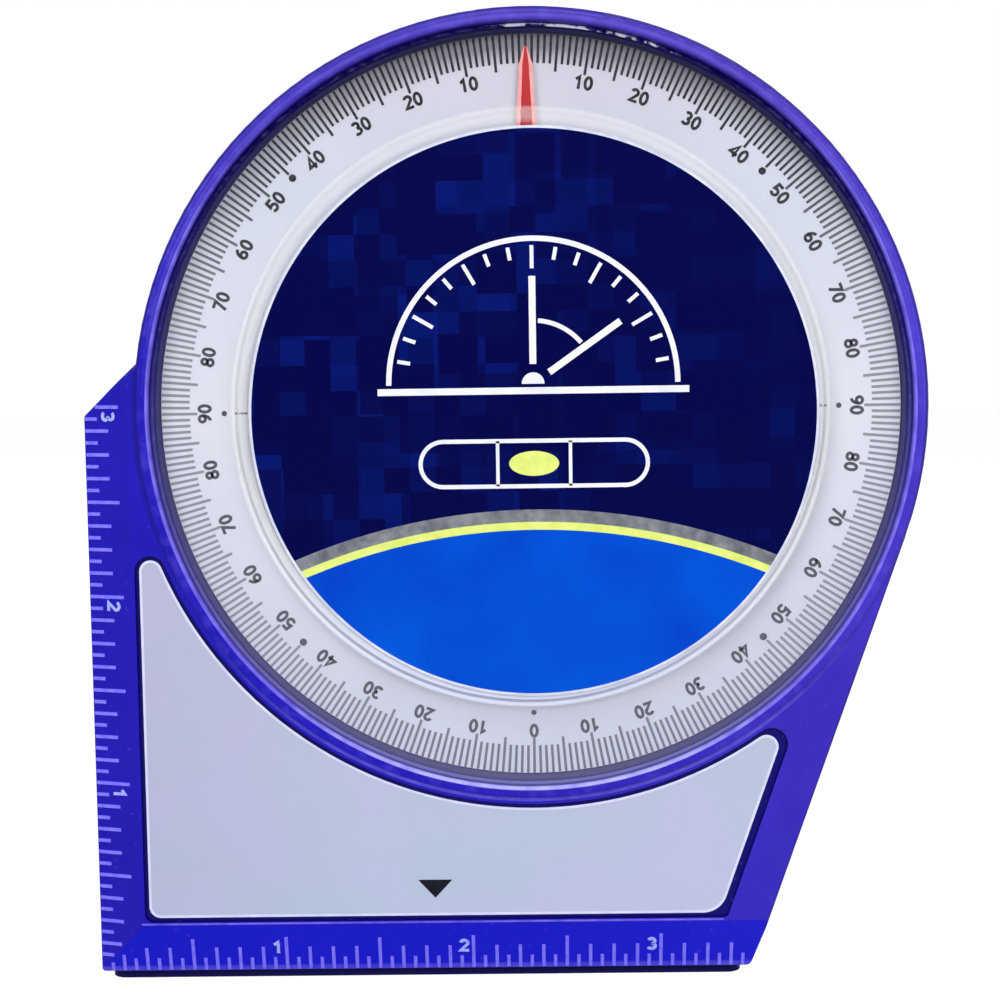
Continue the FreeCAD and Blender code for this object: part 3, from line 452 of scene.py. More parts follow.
def worn_edges(shader):
    """Each painted edge highlight's mask, with how strong it is and in what colour.

    The crease is where the base's bevel meets the face, and the heel is that bevel's lower edge. The crest
    is the edge of the drum's mouth, the ridge the top of its rim, and the belly its lower front corner.
    """
    across, _, up = shader.axes
    crease = shader.all_of(shader.inside(up, BEVEL_TOP + 0.02, BEVEL_TOP + 0.22, 0.06),
                           shader.inside(shader.forward, FRAME_FRONT - 0.2, FRAME_FRONT + 0.1, 0.2),
                           shader.inside(across, BEVEL_RIGHT, PANEL_HIGH.x - CREASE_INSET, 0.2))
    crest = shader.all_of(shader.inside(shader.radius, MOUTH_RADIUS - 0.12, MOUTH_RADIUS + 0.25, 0.08),
                          shader.beyond(shader.forward, FRAME_FRONT - 0.2, 0.1),
                          shader.climb(22, 42, 1.0, 0.0))
    low_crest = shader.all_of(crest, shader.climb(-49, -38, 1.0, 0.0))
    heel = shader.all_of(shader.inside(up, BASE_LIFT - 0.2, BASE_LIFT + 0.5, 0.35),
                         shader.inside(shader.forward, BEVEL_EDGE - 0.1, FRAME_FRONT, 0.1))
    ridge = shader.all_of(shader.inside(shader.radius, MOUTH_RADIUS + 0.5, MOUTH_RADIUS + 0.7, 0.25),
                          shader.beyond(shader.forward, FRAME_FRONT + 0.1, 0.1),
                          shader.climb(0, 25))
    belly = shader.all_of(shader.inside(shader.radius, DRUM_RADIUS - 0.4, DRUM_RADIUS - 0.1, 0.15),
                          shader.beyond(shader.forward, FRAME_FRONT - 0.1, 0.1),
                          shader.climb(-45, -30, 1.0, 0.0))
    return ((crease, 0.75, EDGE_HIGHLIGHT), (crest, 0.8, EDGE_HIGHLIGHT), (low_crest, 0.9, CREST_HIGHLIGHT), (heel, 0.35, EDGE_HIGHLIGHT),
            (ridge, 0.22, EDGE_HIGHLIGHT), (belly, 0.45, BELLY_HIGHLIGHT))


def housing_plastic():
    """Blue moulded plastic with pale painted highlights on its edges, a painted sheen, and painted shade in
    the throat, on the outer corners, on the base's bevel and in the panel recess.
    """
    shader = Shader("housing_plastic")
    colour = moulding_colour(shader)
    # painted shade: the bevel along the base faces down and is painted a deeper, bluer blue
    colour = shader.mix(shader.all_of(on_base_bevel(shader), 0.8), colour, srgb(16, 20, 212))
    # pale violet mottle on the drum's front face: partly scuffs, partly painted highlight
    scuffs_and_highlight = shader.all_of(shader.span(shader.noise(1.8, detail=5.0), 0.48, 0.7, 0.0, 0.22),
                            shader.beyond(shader.forward, FRAME_FRONT + 0.2, 0.2))
    colour = shader.mix(scuffs_and_highlight, colour, srgb(104, 92, 220))
    # painted shade on the outer front corners of the slanted right side and of the drum
    colour = shader.mix(shader.all_of(on_outer_corner(shader), 0.6), colour, srgb(22, 10, 116))
    # painted shade on the drum's inner wall: darkest at the top, paler low down
    shade = shader.ramp(shader.climb(-LENS_RADIUS, LENS_RADIUS),
                        [(0.0, srgb(86, 84, 128)), (0.35, srgb(66, 62, 128)), (0.6, srgb(30, 22, 112)),
                         (0.85, srgb(10, 2, 104))])
    colour = shader.mix(in_throat(shader), colour, shade)
    # painted shade in the recess round the panel label
    colour = shader.mix(in_panel_recess(shader), colour, srgb(4, 0, 106))
    uneven = shader.span(shader.noise(2.5), 0.3, 0.65, 0.45, 1.0)
    # painted highlights along the edges, uneven in strength
    for mask, strength, highlight_colour in worn_edges(shader):
        colour = shader.mix(shader.all_of(mask, uneven, strength), colour, highlight_colour)
    speck = shader.span(shader.noise(0.8, detail=1.0), 0.71, 0.75)
    colour = shader.mix(shader.all_of(speck, 0.3), colour, srgb(84, 74, 222))
    scuff = shader.noise(3.0, detail=6.0, stretch=(1.0, 1.0, 0.25))
    shader.set(base_color=colour, roughness=shader.varied(scuff, 0.28, 0.38), specular_ior_level=0.14)
    grain = shader.bump(shader.noise(0.35, detail=2.0), 0.01, 0.35)
    shader.bump(shader.noise(9.0, detail=2.0), 0.12, 0.25, onto=grain)
    return shader.material


# ---- the other materials -----------------------------------------------------


def dial_foil():
    """Silvery printed foil, a little cloudy, with painted light, palest across the middle height, and a
    painted shadow of the rim at the top.
    """
    shader = Shader("dial_foil")
    # painted light: palest across the middle height, a little darker towards the top and the bottom
    colour = shader.ramp(shader.climb(-45, 45),
                         [(0.0, srgb(207, 210, 228)), (0.16, srgb(206, 210, 224)), (0.5, srgb(222, 225, 234)),
                          (0.84, srgb(203, 208, 221)), (1.0, srgb(201, 198, 211))])
    colour = shader.mix(shader.varied(shader.noise(18.0), 0.0, 0.3), colour, srgb(221, 225, 237))
    # painted shadow of the rim over the upper part of the scale
    rim_shade = shader.all_of(shader.span(shader.radius, 45.2 * MM, 47.5 * MM),
                              shader.climb(22, 48, 0.0, 0.68))
    colour = shader.mix(rim_shade, colour, srgb(60, 62, 78))
    fine = shader.noise(0.25, detail=2.0)
    shader.set(base_color=colour, roughness=shader.varied(fine, 0.4, 0.5), specular_ior_level=0.1)
    shader.bump(fine, 0.004, 0.2)
    return shader.material


def printing_ink(name, wear_and_shade):
    """Ink with painted shade: black at the top of the dial, where the rim's shade falls, and grey below; the
    second argument gives a grey for each height on the dial.
    """
    shader = Shader(name)
    # painted shade: the ink darkens towards the top
    colour = shader.ramp(shader.climb(-50, 50), [*wear_and_shade, (0.9, srgb(20, 20, 28))])
    uneven = shader.noise(0.5, detail=2.0)
    colour = shader.mix(shader.span(uneven, 0.35, 0.75, 0.0, 0.15), colour, srgb(150, 150, 158))
    shader.set(base_color=colour, roughness=shader.varied(uneven, 0.42, 0.58), specular_ior_level=0.08)
    return shader.material


def clear_lens():
    """Clear plastic with a painted highlight: the slope of its raised middle is milky white instead of clear,
    most of all at the bottom.
    """
    shader = Shader("clear_lens")
    # painted highlight: the slope of the raised middle turns milky white, strongest and bluish low down; the
    # same white shows faintly in a ring round the slope
    low = shader.math("ADD", shader.climb(-35, -6, 0.68, 0.0), shader.climb(-35, 35, 0.17, 0.07))
    slope = shader.all_of(low, shader.inside(shader.radius, LABEL_RADIUS + 0.1, LENS_SLOPE + 0.6, 0.3))
    blue = shader.all_of(slope, shader.climb(-35, 0, 1.0, 0.0))
    slope_highlight = shader.mix(blue, (1.0, 1.0, 1.0), srgb(212, 221, 248))
    ring = shader.inside(shader.radius, LENS_SLOPE - 0.7, LENS_SLOPE + 0.6, 0.35)
    ring = shader.span(ring, 0.0, 1.0, 1.0, 0.94)
    haze = shader.noise(7.0, detail=4.0)
    shader.set(base_color=slope_highlight, roughness=shader.span(haze, 0.35, 0.75, 0.0, 0.03),
               ior=1.49, specular_tint=(0.2, 0.2, 0.2),
               transmission_weight=shader.all_of(shader.math("SUBTRACT", 1.0, slope), ring))
    shader.let_lamps_through((0.96, 0.96, 0.97))
    return shader.material


def lens_bond():
    """Cloudy violet adhesive with painted shade: dark at the top in the rim's shade, paler below, and a
    broken white painted glint at the top.
    """
    shader = Shader("lens_bond")
    lumps = shader.noise(1.2)
    # painted shade: dark at the top, in the rim's shade, and paler low down
    colour = shader.ramp(shader.climb(-LENS_RADIUS, LENS_RADIUS),
                         [(0.0, srgb(128, 128, 196)), (0.3, srgb(94, 92, 170)), (0.6, srgb(40, 34, 118)),
                          (0.85, srgb(12, 4, 80))])
    colour = shader.mix(shader.span(lumps, 0.45, 0.75, 0.0, 0.2), colour, srgb(126, 122, 200))
    # painted glint: a broken white line on the lens's edge at the top
    bearing = shader.math("ARCTAN2", shader.axes[0], shader.lift)
    edge_glint = shader.all_of(shader.span(bearing, math.radians(-7), math.radians(-5)),
                         shader.span(bearing, math.radians(24), math.radians(22)),
                         shader.span(shader.noise(1.6), 0.47, 0.56, 0.0, 0.75))
    colour = shader.mix(edge_glint, colour, srgb(220, 220, 238))
    shader.set(base_color=colour, roughness=shader.varied(lumps, 0.12, 0.3), ior=1.45,
               specular_ior_level=0.2)
    shader.bump(lumps, 0.06, 0.5)
    return shader.material


def mosaic(shader, tile_mm, shift):
    """A random grey for each square tile of a grid on the front plane."""
    joined = shader.nodes.new("ShaderNodeCombineXYZ")
    across, _, up = shader.axes
    for value, offset, socket in ((across, shift, joined.inputs[0]), (up, shift * 0.6, joined.inputs[1])):
        tiles = shader.math("MULTIPLY", value, 1.0 / (tile_mm * MM))
        shader.link(shader.math("FLOOR", shader.math("ADD", tiles, offset)), socket)
    random = shader.nodes.new("ShaderNodeTexWhiteNoise")
    random.noise_dimensions = "2D"
    shader.link(joined.outputs[0], random.inputs["Vector"])
    return random.outputs["Value"]


def label_print():
    """Navy label film, a little lighter to the left, with a faint mosaic of squares."""
    shader = Shader("label_print")
    tiles = shader.all_of(mosaic(shader, 5.2, 0.3), mosaic(shader, 3.4, 0.7))
    side = shader.span(shader.axes[0], -LABEL_RADIUS * MM, LABEL_RADIUS * MM, 1.0, 0.35)
    lit = shader.all_of(shader.span(tiles, 0.15, 0.95), side)
    colour = shader.ramp(lit, [(0.0, srgb(2, 4, 68)), (1.0, srgb(6, 26, 116))])
    fine = shader.noise(0.2, detail=1.0)
    shader.set(base_color=colour, roughness=shader.varied(fine, 0.18, 0.24), specular_ior_level=0.03)
    return shader.material


def soft_colour(name, dark, light, grain_mm, shine=0.08):
    """One colour with soft unevenness, for print and for small plastic pieces."""
    shader = Shader(name)
    cloud = shader.noise(grain_mm)
    fine = shader.noise(0.2, detail=1.0)
    shader.set(base_color=shader.clouded(cloud, dark, light), roughness=shader.varied(fine, 0.2, 0.3),
               specular_ior_level=shine)
    return shader.material


def panel_foil():
    """Pale satin label, bluer towards the bottom, that shimmers a little between green and violet."""
    shader = Shader("panel_foil")
    across, _, up = shader.axes
    fade = shader.span(up, PANEL_LOW.z * MM, PANEL_HIGH.z * MM)
    colour = shader.ramp(fade, [(0.0, srgb(186, 194, 223)), (1.0, srgb(180, 185, 206))])
    # painted shade: darker towards the left end
    side = shader.span(across, PANEL_LOW.x * MM, (PANEL_LOW.x + 30) * MM, 0.6, 0.0)
    colour = shader.mix(side, colour, srgb(166, 174, 196))
    shimmer = shader.ramp(shader.noise(24.0, detail=2.0),
                          [(0.4, srgb(174, 192, 208)), (0.6, srgb(194, 186, 224))])
    colour = shader.mix(0.35, colour, shimmer)
    fine = shader.noise(0.2, detail=2.0)
    shader.set(base_color=colour, roughness=shader.varied(fine, 0.36, 0.46), specular_ior_level=0.1)
    shader.bump(fine, 0.003, 0.2)
    return shader.material


def metal(name, dark, light, roughness, grain_mm=0.6, metallic=1.0, stretch=(1.0, 1.0, 1.0)):
    """Bare or plated metal with a brushed or cast grain."""
    shader = Shader(name)
    grain = shader.noise(grain_mm, detail=4.0, stretch=stretch)
    cloud = shader.noise(6.0, detail=2.0)
    colour = shader.mix(shader.varied(cloud, 0.0, 0.5), shader.clouded(grain, dark, light), light)
    shader.set(base_color=colour, metallic=metallic,
               roughness=shader.varied(grain, roughness - 0.08, roughness + 0.08))
    shader.bump(grain, 0.01, 0.3)
    return shader.material


def magnet_ferrite():
    """Dark bonded ferrite, painted navy for the housing's shade, with fine pale specks and shallow pits."""
    shader = Shader("magnet_ferrite")
    grit = shader.noise(0.5, detail=5.0, roughness=0.7)
    colour = shader.ramp(grit, [(0.35, srgb(6, 4, 64)), (0.62, srgb(12, 10, 78)), (0.8, srgb(48, 46, 110))])
    shader.set(base_color=colour, roughness=shader.varied(grit, 0.5, 0.7), specular_ior_level=0.1)
    shader.bump(grit, 0.05, 0.4)
    return shader.material


def moulded_marks(name, worn, fresh):
    """Pale violet ink on raised marks, worn at places."""
    shader = Shader(name)
    wear_and_shade = shader.noise(0.7)
    colour = shader.ramp(wear_and_shade, [(0.3, worn), (0.65, fresh)])
    shader.set(base_color=colour, roughness=shader.varied(wear_and_shade, 0.35, 0.5), specular_ior_level=0.1)
    return shader.material


def pointer_enamel():
    """Red enamel, lighter along the middle."""
    shader = Shader("pointer_enamel")
    side = shader.math("ABSOLUTE", shader.axes[0])
    rough = shader.noise(0.8)
    colour = shader.ramp(shader.span(side, 0.0, 0.9 * MM),
                         [(0.0, srgb(190, 46, 50)), (1.0, srgb(165, 28, 34))])
    colour = shader.mix(shader.span(rough, 0.35, 0.7, 0.0, 0.25), colour, srgb(150, 24, 30))
    shader.set(base_color=colour, roughness=shader.varied(rough, 0.34, 0.44), specular_ior_level=0.1)
    return shader.material


MATERIALS = {
    "housing": housing_plastic(),
    "foil": dial_foil(),
    # greys of the dial's ink by height, darkest at the top as painted shade
    "ink": printing_ink("dial_ink", [(0.0, srgb(116, 116, 132)), (0.18, srgb(146, 148, 160)),
                                     (0.6, srgb(142, 144, 154)), (0.82, srgb(42, 42, 52))]),
    "digit_ink": printing_ink("digit_ink", [(0.0, srgb(98, 98, 112)), (0.55, srgb(70, 70, 80)),
                                            (0.82, srgb(30, 30, 38))]),
    "lens": clear_lens(),
    "bond": lens_bond(),
    "label": label_print(),
    "label_blue": soft_colour("label_blue", srgb(0, 66, 196), srgb(0, 84, 212), 12.0, shine=0.05),
    "label_lime": soft_colour("label_lime", srgb(214, 230, 110), srgb(230, 242, 140), 2.0),
    "label_grey": soft_colour("label_grey", srgb(96, 100, 110), srgb(140, 142, 150), 1.5),
    "label_white": soft_colour("label_white", srgb(226, 228, 238), srgb(240, 242, 248), 4.0),
    "label_edge": soft_colour("label_edge", srgb(196, 202, 226), srgb(224, 228, 244), 2.0),
    "panel": panel_foil(),
    # painted highlight on the panel label's cut edge
    "panel_edge_highlight": soft_colour("panel_edge_highlight", srgb(206, 208, 240), srgb(224, 226, 252), 3.0),
    "panel_ink": soft_colour("panel_ink", srgb(14, 18, 30), srgb(24, 30, 44), 1.0),
    "marks": moulded_marks("moulded_marks", srgb(116, 108, 255), srgb(136, 128, 255)),
    "numerals": moulded_marks("moulded_numerals", srgb(156, 164, 255), srgb(178, 188, 255)),
    "magnet": magnet_ferrite(),
    "steel": metal("plated_steel", srgb(150, 152, 156), srgb(196, 198, 202), 0.36, stretch=(1, 1, 0.1)),
    "screw": metal("screw_steel", srgb(120, 122, 128), srgb(190, 192, 196), 0.34),
    "zinc": metal("zinc_casting", srgb(110, 112, 118), srgb(150, 152, 158), 0.55, 0.9, metallic=0.8),
    "brass": metal("hub_brass", srgb(172, 130, 62), srgb(214, 172, 92), 0.3),
    "pin": metal("polished_pin", srgb(190, 192, 198), srgb(226, 228, 232), 0.2),
    "rivet": metal("aluminium_rivet", srgb(176, 178, 182), srgb(214, 216, 220), 0.4),
    "washer": soft_colour("washer_plastic", srgb(214, 212, 204), srgb(232, 230, 222), 1.0),
    "board": soft_colour("dial_board", srgb(196, 196, 196), srgb(214, 214, 214), 2.0),
    "red": pointer_enamel(),
    "pink": soft_colour("pointer_edge", srgb(246, 150, 148), srgb(255, 176, 172), 1.0),
}

NODE_MATERIALS = {
    "housing_shell": "housing", "rear_cover": "housing", "cover_screws": "screw", "base_magnet": "magnet",
    "magnet_backing_plate": "steel", "dial_plate": "board", "dial_face": "foil", "dial_graduations": "ink",
    "lens": "lens", "lens_bond": "bond", "centre_label": "label", "panel_label": "panel",
    "base_rule_marks": "marks", "side_rule_marks": "marks", "pivot_pin": "pin", "retaining_ring": "steel",
    "thrust_washer": "washer", "hub_bush": "brass", "pendulum_arm": "steel", "pendulum_weight": "zinc",
    "weight_rivets": "rivet", "pointer": "red", "pointer_rivets": "rivet",
}
for node, kind in NODE_MATERIALS.items():
    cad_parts[node].data.materials.clear()
    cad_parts[node].data.materials.append(MATERIALS[kind])


# ---- dial print --------------------------------------------------------------

NUMERAL_RADIUS = 43.4  # from the pivot to the middle of a numeral
NUMERAL_HEIGHT = 1.8
NUMERAL_WEIGHT = 0.225  # width of the lines, as a share of the height
POINT_RADIUS = 43.75
POINT_SIZE = 0.5  # radius of the point itself
SMALL_POINT_RADII = {90: 41.0, 180: 40.9, 270: 40.8}  # by bearing
SMALL_POINT_SIZE = 0.36
DASH_RADIUS = 38.25
DASH_LENGTH = 1.1
DASH_WIDTH = 0.28


def around(radius, degrees):
    """Drawing plane on the dial at a bearing, clockwise from the top, with its up away from the pivot."""
    angle = math.radians(degrees)
    up = Vector((math.sin(angle), 0, math.cos(angle)))
    across = Vector((math.cos(angle), 0, -math.sin(angle)))
    return plane_at(Vector((0, -DIAL_FRONT, PIVOT)) + up * radius, across, up)


def make_dial_numerals():
    """0 to 90 and back in each half of the dial, tops outwards."""
    mesh = bmesh.new()
    for bearing in range(0, 360, 10):
        number = 90 - abs(90 - bearing % 180)
        write_number(mesh, str(number), NUMERAL_HEIGHT, NUMERAL_WEIGHT, around(NUMERAL_RADIUS, bearing))
    add_piece("dial_numerals", mesh, "digit_ink")


def make_dial_points():
    """Small print inside the scale: points at the 45s, the 90s and the bottom, and dashes by the label."""
    mesh = bmesh.new()
    for bearing in (45, 135, 225, 315):
        plate(mesh, arc((0, 0), POINT_SIZE, steps=24), around(POINT_RADIUS, bearing))
    for bearing, radius in SMALL_POINT_RADII.items():
        plate(mesh, arc((0, 0), SMALL_POINT_SIZE, steps=20), around(radius, bearing))
        dash = [(0, -DASH_LENGTH / 2), (0, DASH_LENGTH / 2)]
        stroke(mesh, dash, DASH_WIDTH, around(DASH_RADIUS, bearing))
    add_piece("dial_points", mesh, "digit_ink")


# ---- needle ------------------------------------------------------------------

EDGE_WIDTH = 0.4  # how far the edge stands out beside the needle
EDGE_OVERLAP = 0.16  # how far it covers the needle
EDGE_UNDER_LABEL = 6.0
EDGE_TIP_HALF = 0.1  # where it ends at the tip, from the needle's middle
EDGE_TIP_WIDTH = 0.3  # its outer corner, from the needle's middle
EDGE_TIP_DROP = 0.5  # and below the tip


def make_pointer_edge():
    """Pale edge on both sides of the red needle, from under the label to the tip."""
    tip = POINTER_HIGH.z - PIVOT
    neck = tip - NEEDLE_POINT
    root = LABEL_RADIUS - EDGE_UNDER_LABEL
    neck_half = NEEDLE_NECK / 2
    root_half = NEEDLE_ROOT / 2 - (NEEDLE_ROOT - NEEDLE_NECK) / 2 * root / neck
    inner = [(EDGE_TIP_HALF, tip), (neck_half - EDGE_OVERLAP / 3, neck), (root_half - EDGE_OVERLAP, root)]
    outer = [(root_half + EDGE_WIDTH, root), (neck_half + EDGE_WIDTH, neck),
             (EDGE_TIP_WIDTH, tip - EDGE_TIP_DROP)]
    place = front_plane(-POINTER_HIGH.y)
    thickness = POINTER_HIGH.y - POINTER_LOW.y + PRINT
    mesh = bmesh.new()
    for side in (1, -1):
        outline = [(across * side, PIVOT + up) for across, up in inner + outer]
        plate(mesh, outline, place, thickness)
    add_piece("pointer_edge", mesh, "pink", "pendulum")


# ---- centre label ------------------------------------------------------------

LABEL_PLANE = front_plane(LABEL_FRONT)
ART_RADIUS = LABEL_RADIUS - 0.35
FIELD_PRINT = 0.02
HILL_DROP = 95.0  # from the label's centre down to that of the arch
HILL_RADIUS = 80.0
HILL_CENTRE = (LABEL_CENTRE[0], LABEL_CENTRE[1] - HILL_DROP)
BAND_REACH = (0.5, 2.4)  # from the hill's arch outwards
LINE_REACH = (-0.3, 0.75)

SIGN_RADIUS = 19.0
SIGN_LIFT = 4.0  # from the label's centre up to the sign's
SIGN_LINE = 0.7
SIGN_BOLD = 0.9
SIGN_FOOT_REACH = 1.5
TICK_GAP = 0.9
TICK_LENGTH = 1.7
LONG_TICK = 3.0
TICK_LINE = 0.5
SIGN_ARMS = (35, 90)  # bearings of the two arms, from the right
ARM_REACH = (2.6, 14.1)
OPENING_RADIUS = 8.3  # the arc between the arms
OPENING_GAP = 5
OPENING_LINE = 0.6
HUB_RADIUS = 1.5

VIAL_DROP = 6.5  # from the label's centre down to the tube's
VIAL_LENGTH = 30.0
VIAL_HEIGHT = 6.0
VIAL_LINE = 0.55
VIAL_MARK = 4.8  # from the middle to either mark
VIAL_MARK_LINE = 0.45
BUBBLE_HALF = (3.3, 1.65)  # half its width and half its height


def arch(radius):
    """An arch of the printed hill, from its right end to its left end on the edge of the art."""
    level = (radius ** 2 - ART_RADIUS ** 2 - HILL_DROP ** 2) / (2 * HILL_DROP)
    reach = math.degrees(math.asin(math.sqrt(ART_RADIUS ** 2 - level ** 2) / radius))
    return arc(HILL_CENTRE, radius, 90 - reach, 90 + reach, 60)


def edge_bearing(point):
    """Bearing of a point from the label's centre, from the right, in degrees."""
    return math.degrees(math.atan2(point[1] - LABEL_CENTRE[1], point[0] - LABEL_CENTRE[0]))


def hill_field():
    """Everything of the label below the hill's arch, counter-clockwise."""
    top = arch(HILL_RADIUS)
    start = edge_bearing(top[-1]) % 360
    sweep = (edge_bearing(top[0]) - start) % 360
    return top + arc(LABEL_CENTRE, ART_RADIUS, start, start + sweep, 90)[1:-1]


def hill_band(low, high):
    """The strip between two distances from the hill's arch, counter-clockwise."""
    return arch(HILL_RADIUS + high) + list(reversed(arch(HILL_RADIUS + low)))


def make_label_field():
    """Bright blue hill under a lime line and a grey band, and a pale edge all round the label."""
    for name, outline, kind, thickness in (
            ("label_field", hill_field(), "label_blue", FIELD_PRINT),
            ("label_band", hill_band(*BAND_REACH), "label_grey", FIELD_PRINT),
            ("label_line", hill_band(*LINE_REACH), "label_lime", PRINT)):
        mesh = bmesh.new()
        plate(mesh, outline, LABEL_PLANE, thickness)
        add_piece(name, mesh, kind)
    mesh = bmesh.new()
    band(mesh, arc(LABEL_CENTRE, LABEL_RADIUS), arc(LABEL_CENTRE, ART_RADIUS), LABEL_PLANE, FIELD_PRINT)
    add_piece("label_border", mesh, "label_edge")


def spoke(centre, degrees, near, far):
    """A straight path away from a centre, at an angle from the right."""
    angle = math.radians(degrees)
    return [(centre[0] + reach * math.cos(angle), centre[1] + reach * math.sin(angle))
            for reach in (near, far)]


def make_label_sign():
    """Generic half-round protractor sign in white, with two arms of an angle."""
    mesh = bmesh.new()
    centre = (LABEL_CENTRE[0], LABEL_CENTRE[1] + SIGN_LIFT)
    foot = [(centre[0] + side * (SIGN_RADIUS + SIGN_FOOT_REACH), centre[1] - SIGN_BOLD) for side in (-1, 1)]
    stroke(mesh, arc(centre, SIGN_RADIUS, 0, 180), SIGN_LINE, LABEL_PLANE)
    stroke(mesh, foot, SIGN_BOLD, LABEL_PLANE)
    outer = SIGN_RADIUS - TICK_GAP
    for degree in range(10, 180, 10):
        length = LONG_TICK if degree % 30 == 0 else TICK_LENGTH
        stroke(mesh, spoke(centre, degree, outer - length, outer), TICK_LINE, LABEL_PLANE)
    for degree in SIGN_ARMS:
        stroke(mesh, spoke(centre, degree, *ARM_REACH), SIGN_BOLD, LABEL_PLANE)
    opening = arc(centre, OPENING_RADIUS, SIGN_ARMS[0] + OPENING_GAP, SIGN_ARMS[1] - OPENING_GAP, 24)
    stroke(mesh, opening, OPENING_LINE, LABEL_PLANE)
    plate(mesh, arc(centre, HUB_RADIUS, 0, 180, 24), LABEL_PLANE)
    add_piece("label_sign", mesh, "label_white")


def make_label_vial():
    """Generic spirit level under the sign: a white tube with two lines and a lime bubble."""
    across, up = LABEL_CENTRE[0], LABEL_CENTRE[1] - VIAL_DROP
    bow = VIAL_HEIGHT / 2
    reach = VIAL_LENGTH / 2 - bow
    right_end = arc((across + reach, up), bow, -90, 90, 18)
    left_end = arc((across - reach, up), bow, 90, 270, 18)
    mesh = bmesh.new()
    stroke(mesh, right_end + left_end + right_end[:1], VIAL_LINE, LABEL_PLANE)
    for mark in (across + VIAL_MARK, across - VIAL_MARK):
        stroke(mesh, [(mark, up - bow), (mark, up + bow)], VIAL_MARK_LINE, LABEL_PLANE)
    add_piece("label_vial", mesh, "label_white")
    mesh = bmesh.new()
    plate(mesh, oval((across, up), *BUBBLE_HALF, steps=36), LABEL_PLANE)
    add_piece("label_bubble", mesh, "label_lime")


# ---- panel label -------------------------------------------------------------

PANEL_PLANE = front_plane(PANEL_FRONT)
PANEL_EDGE_WIDTH = 0.34
MARK_PLACE = (-13.6, 12.9)  # middle of the mark, across and up
MARK_WIDTH = 4.6
MARK_HEIGHT = 2.484


def outline_of(node):
    """Outer edge of a flat solid's front face, in order, as (across, up) in millimetres."""
    mesh = bmesh.new()
    mesh.from_mesh(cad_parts[node].data)
    front = min(vert.co.y for vert in mesh.verts) + SAME
    faces = [face for face in mesh.faces if all(vert.co.y < front for vert in face.verts)]
    edges = set()
    for face in faces:
        corners = [(round(vert.co.x, 7), round(vert.co.z, 7)) for vert in face.verts]
        edges.update(zip(corners, corners[1:] + corners[:1]))
    mesh.free()
    following = {first: second for first, second in edges if (second, first) not in edges}
    start = min(following)
    points = [start]
    while following[points[-1]] != start:
        points.append(following[points[-1]])
    return [(across / MM, up / MM) for across, up in points]


def make_panel_edge():
    """Painted highlight on the label's cut edge: a pale line all round it."""
    outline = outline_of("panel_label")
    mesh = bmesh.new()
    stroke(mesh, outline + outline[:1], PANEL_EDGE_WIDTH, PANEL_PLANE)
    add_piece("panel_edge_highlight", mesh, "panel_edge_highlight")


def make_panel_mark():
    """The black pointer mark on the panel label."""
    across, up = MARK_PLACE
    top = up + MARK_HEIGHT / 2
    mesh = bmesh.new()
    tip = (across, up - MARK_HEIGHT / 2)
    plate(mesh, [(across - MARK_WIDTH / 2, top), tip, (across + MARK_WIDTH / 2, top)], PANEL_PLANE)
    add_piece("panel_pointer_mark", mesh, "panel_ink")


# ---- rule numerals -----------------------------------------------------------

DIGIT_BEFORE = 1.25  # from the digit's middle to its inch mark
DIGIT_RISE = 3.6  # up the slope of the bevel
DIGIT_HEIGHT = 1.9
DIGIT_WEIGHT = 0.22
DIGIT_STRETCH = 1.1
DIGIT_RELIEF = 0.1


def make_rule_numerals():
    """1, 2 and 3 beside the inch marks of both rules, raised on the bevels."""
    up_base = Vector((0, -BEVEL_DROP, BASE_BEVEL)).normalized()
    up_side = Vector((SIDE_BEVEL, -BEVEL_DROP, 0)).normalized()
    base = bmesh.new()
    side = bmesh.new()
    for inch in (1, 2, 3):
        reach = inch * INCH - DIGIT_BEFORE
        base_foot = Vector((FRAME_LEFT + reach, -BEVEL_EDGE, BASE_LIFT))
        side_foot = Vector((FRAME_LEFT, -BEVEL_EDGE, BASE_LIFT + SIDE_RULE_ZERO + reach))
        for mesh, foot, right, up in ((base, base_foot, Vector((1, 0, 0)), up_base),
                                      (side, side_foot, Vector((0, 0, -1)), up_side)):
            place = plane_at(foot + up * DIGIT_RISE, right, up)
            write_number(mesh, str(inch), DIGIT_HEIGHT, DIGIT_WEIGHT, place, DIGIT_STRETCH, DIGIT_RELIEF)
    add_piece("base_rule_numerals", base, "numerals")
    add_piece("side_rule_numerals", side, "numerals")


# ---- stage, light and camera, in metres --------------------------------------

FLOOR_REACH = 1.6
FLOOR_DROP = 0.00002  # just below the part's foot
PAPER = (0.35, 0.35, 0.35, 1)
PAPER_SHADE = (0.14, 0.14, 0.14, 1)  # the part of the shown white that a shadow takes away
FLOOR_WHITE = 0.955

WHITE = (1, 1, 1, 1)
ROOM_DIM = (0.13, 0.13, 0.16, 1)
ROOM_SLANT = 0.6
ROOM_BRIGHT_FROM = 0.8
ROOM_STRENGTH = 0.25

LAMP_AIM = (0, 0, 0.077)
LAMPS = (  # name, place, size and power
    ("high_lamp", (-0.15, -0.45, 0.72), (0.45, 0.3), 1.5),
    ("front_lamp", (0.15, -0.65, 0.45), (0.5, 0.2), 3.0),
    ("right_lamp", (0.5, -0.6, 0.12), (0.3, 0.5), 1.5),
    ("left_lamp", (-0.5, -0.7, 0.35), (0.35, 0.35), 2.4),
    ("rear_lamp", (0.25, 0.75, 0.45), (0.6, 0.4), 6.0),
)

CAMERA_PLACE = (-0.0002, -0.27411, 0.08919)
CAMERA_LENS = 71.41  # focal length on a 36 mm wide sensor, in millimetres
CAMERA_HEADING = 0.8611  # this angle and the next two are in degrees
CAMERA_TILT = 5.1798
CAMERA_ROLL = -0.8257


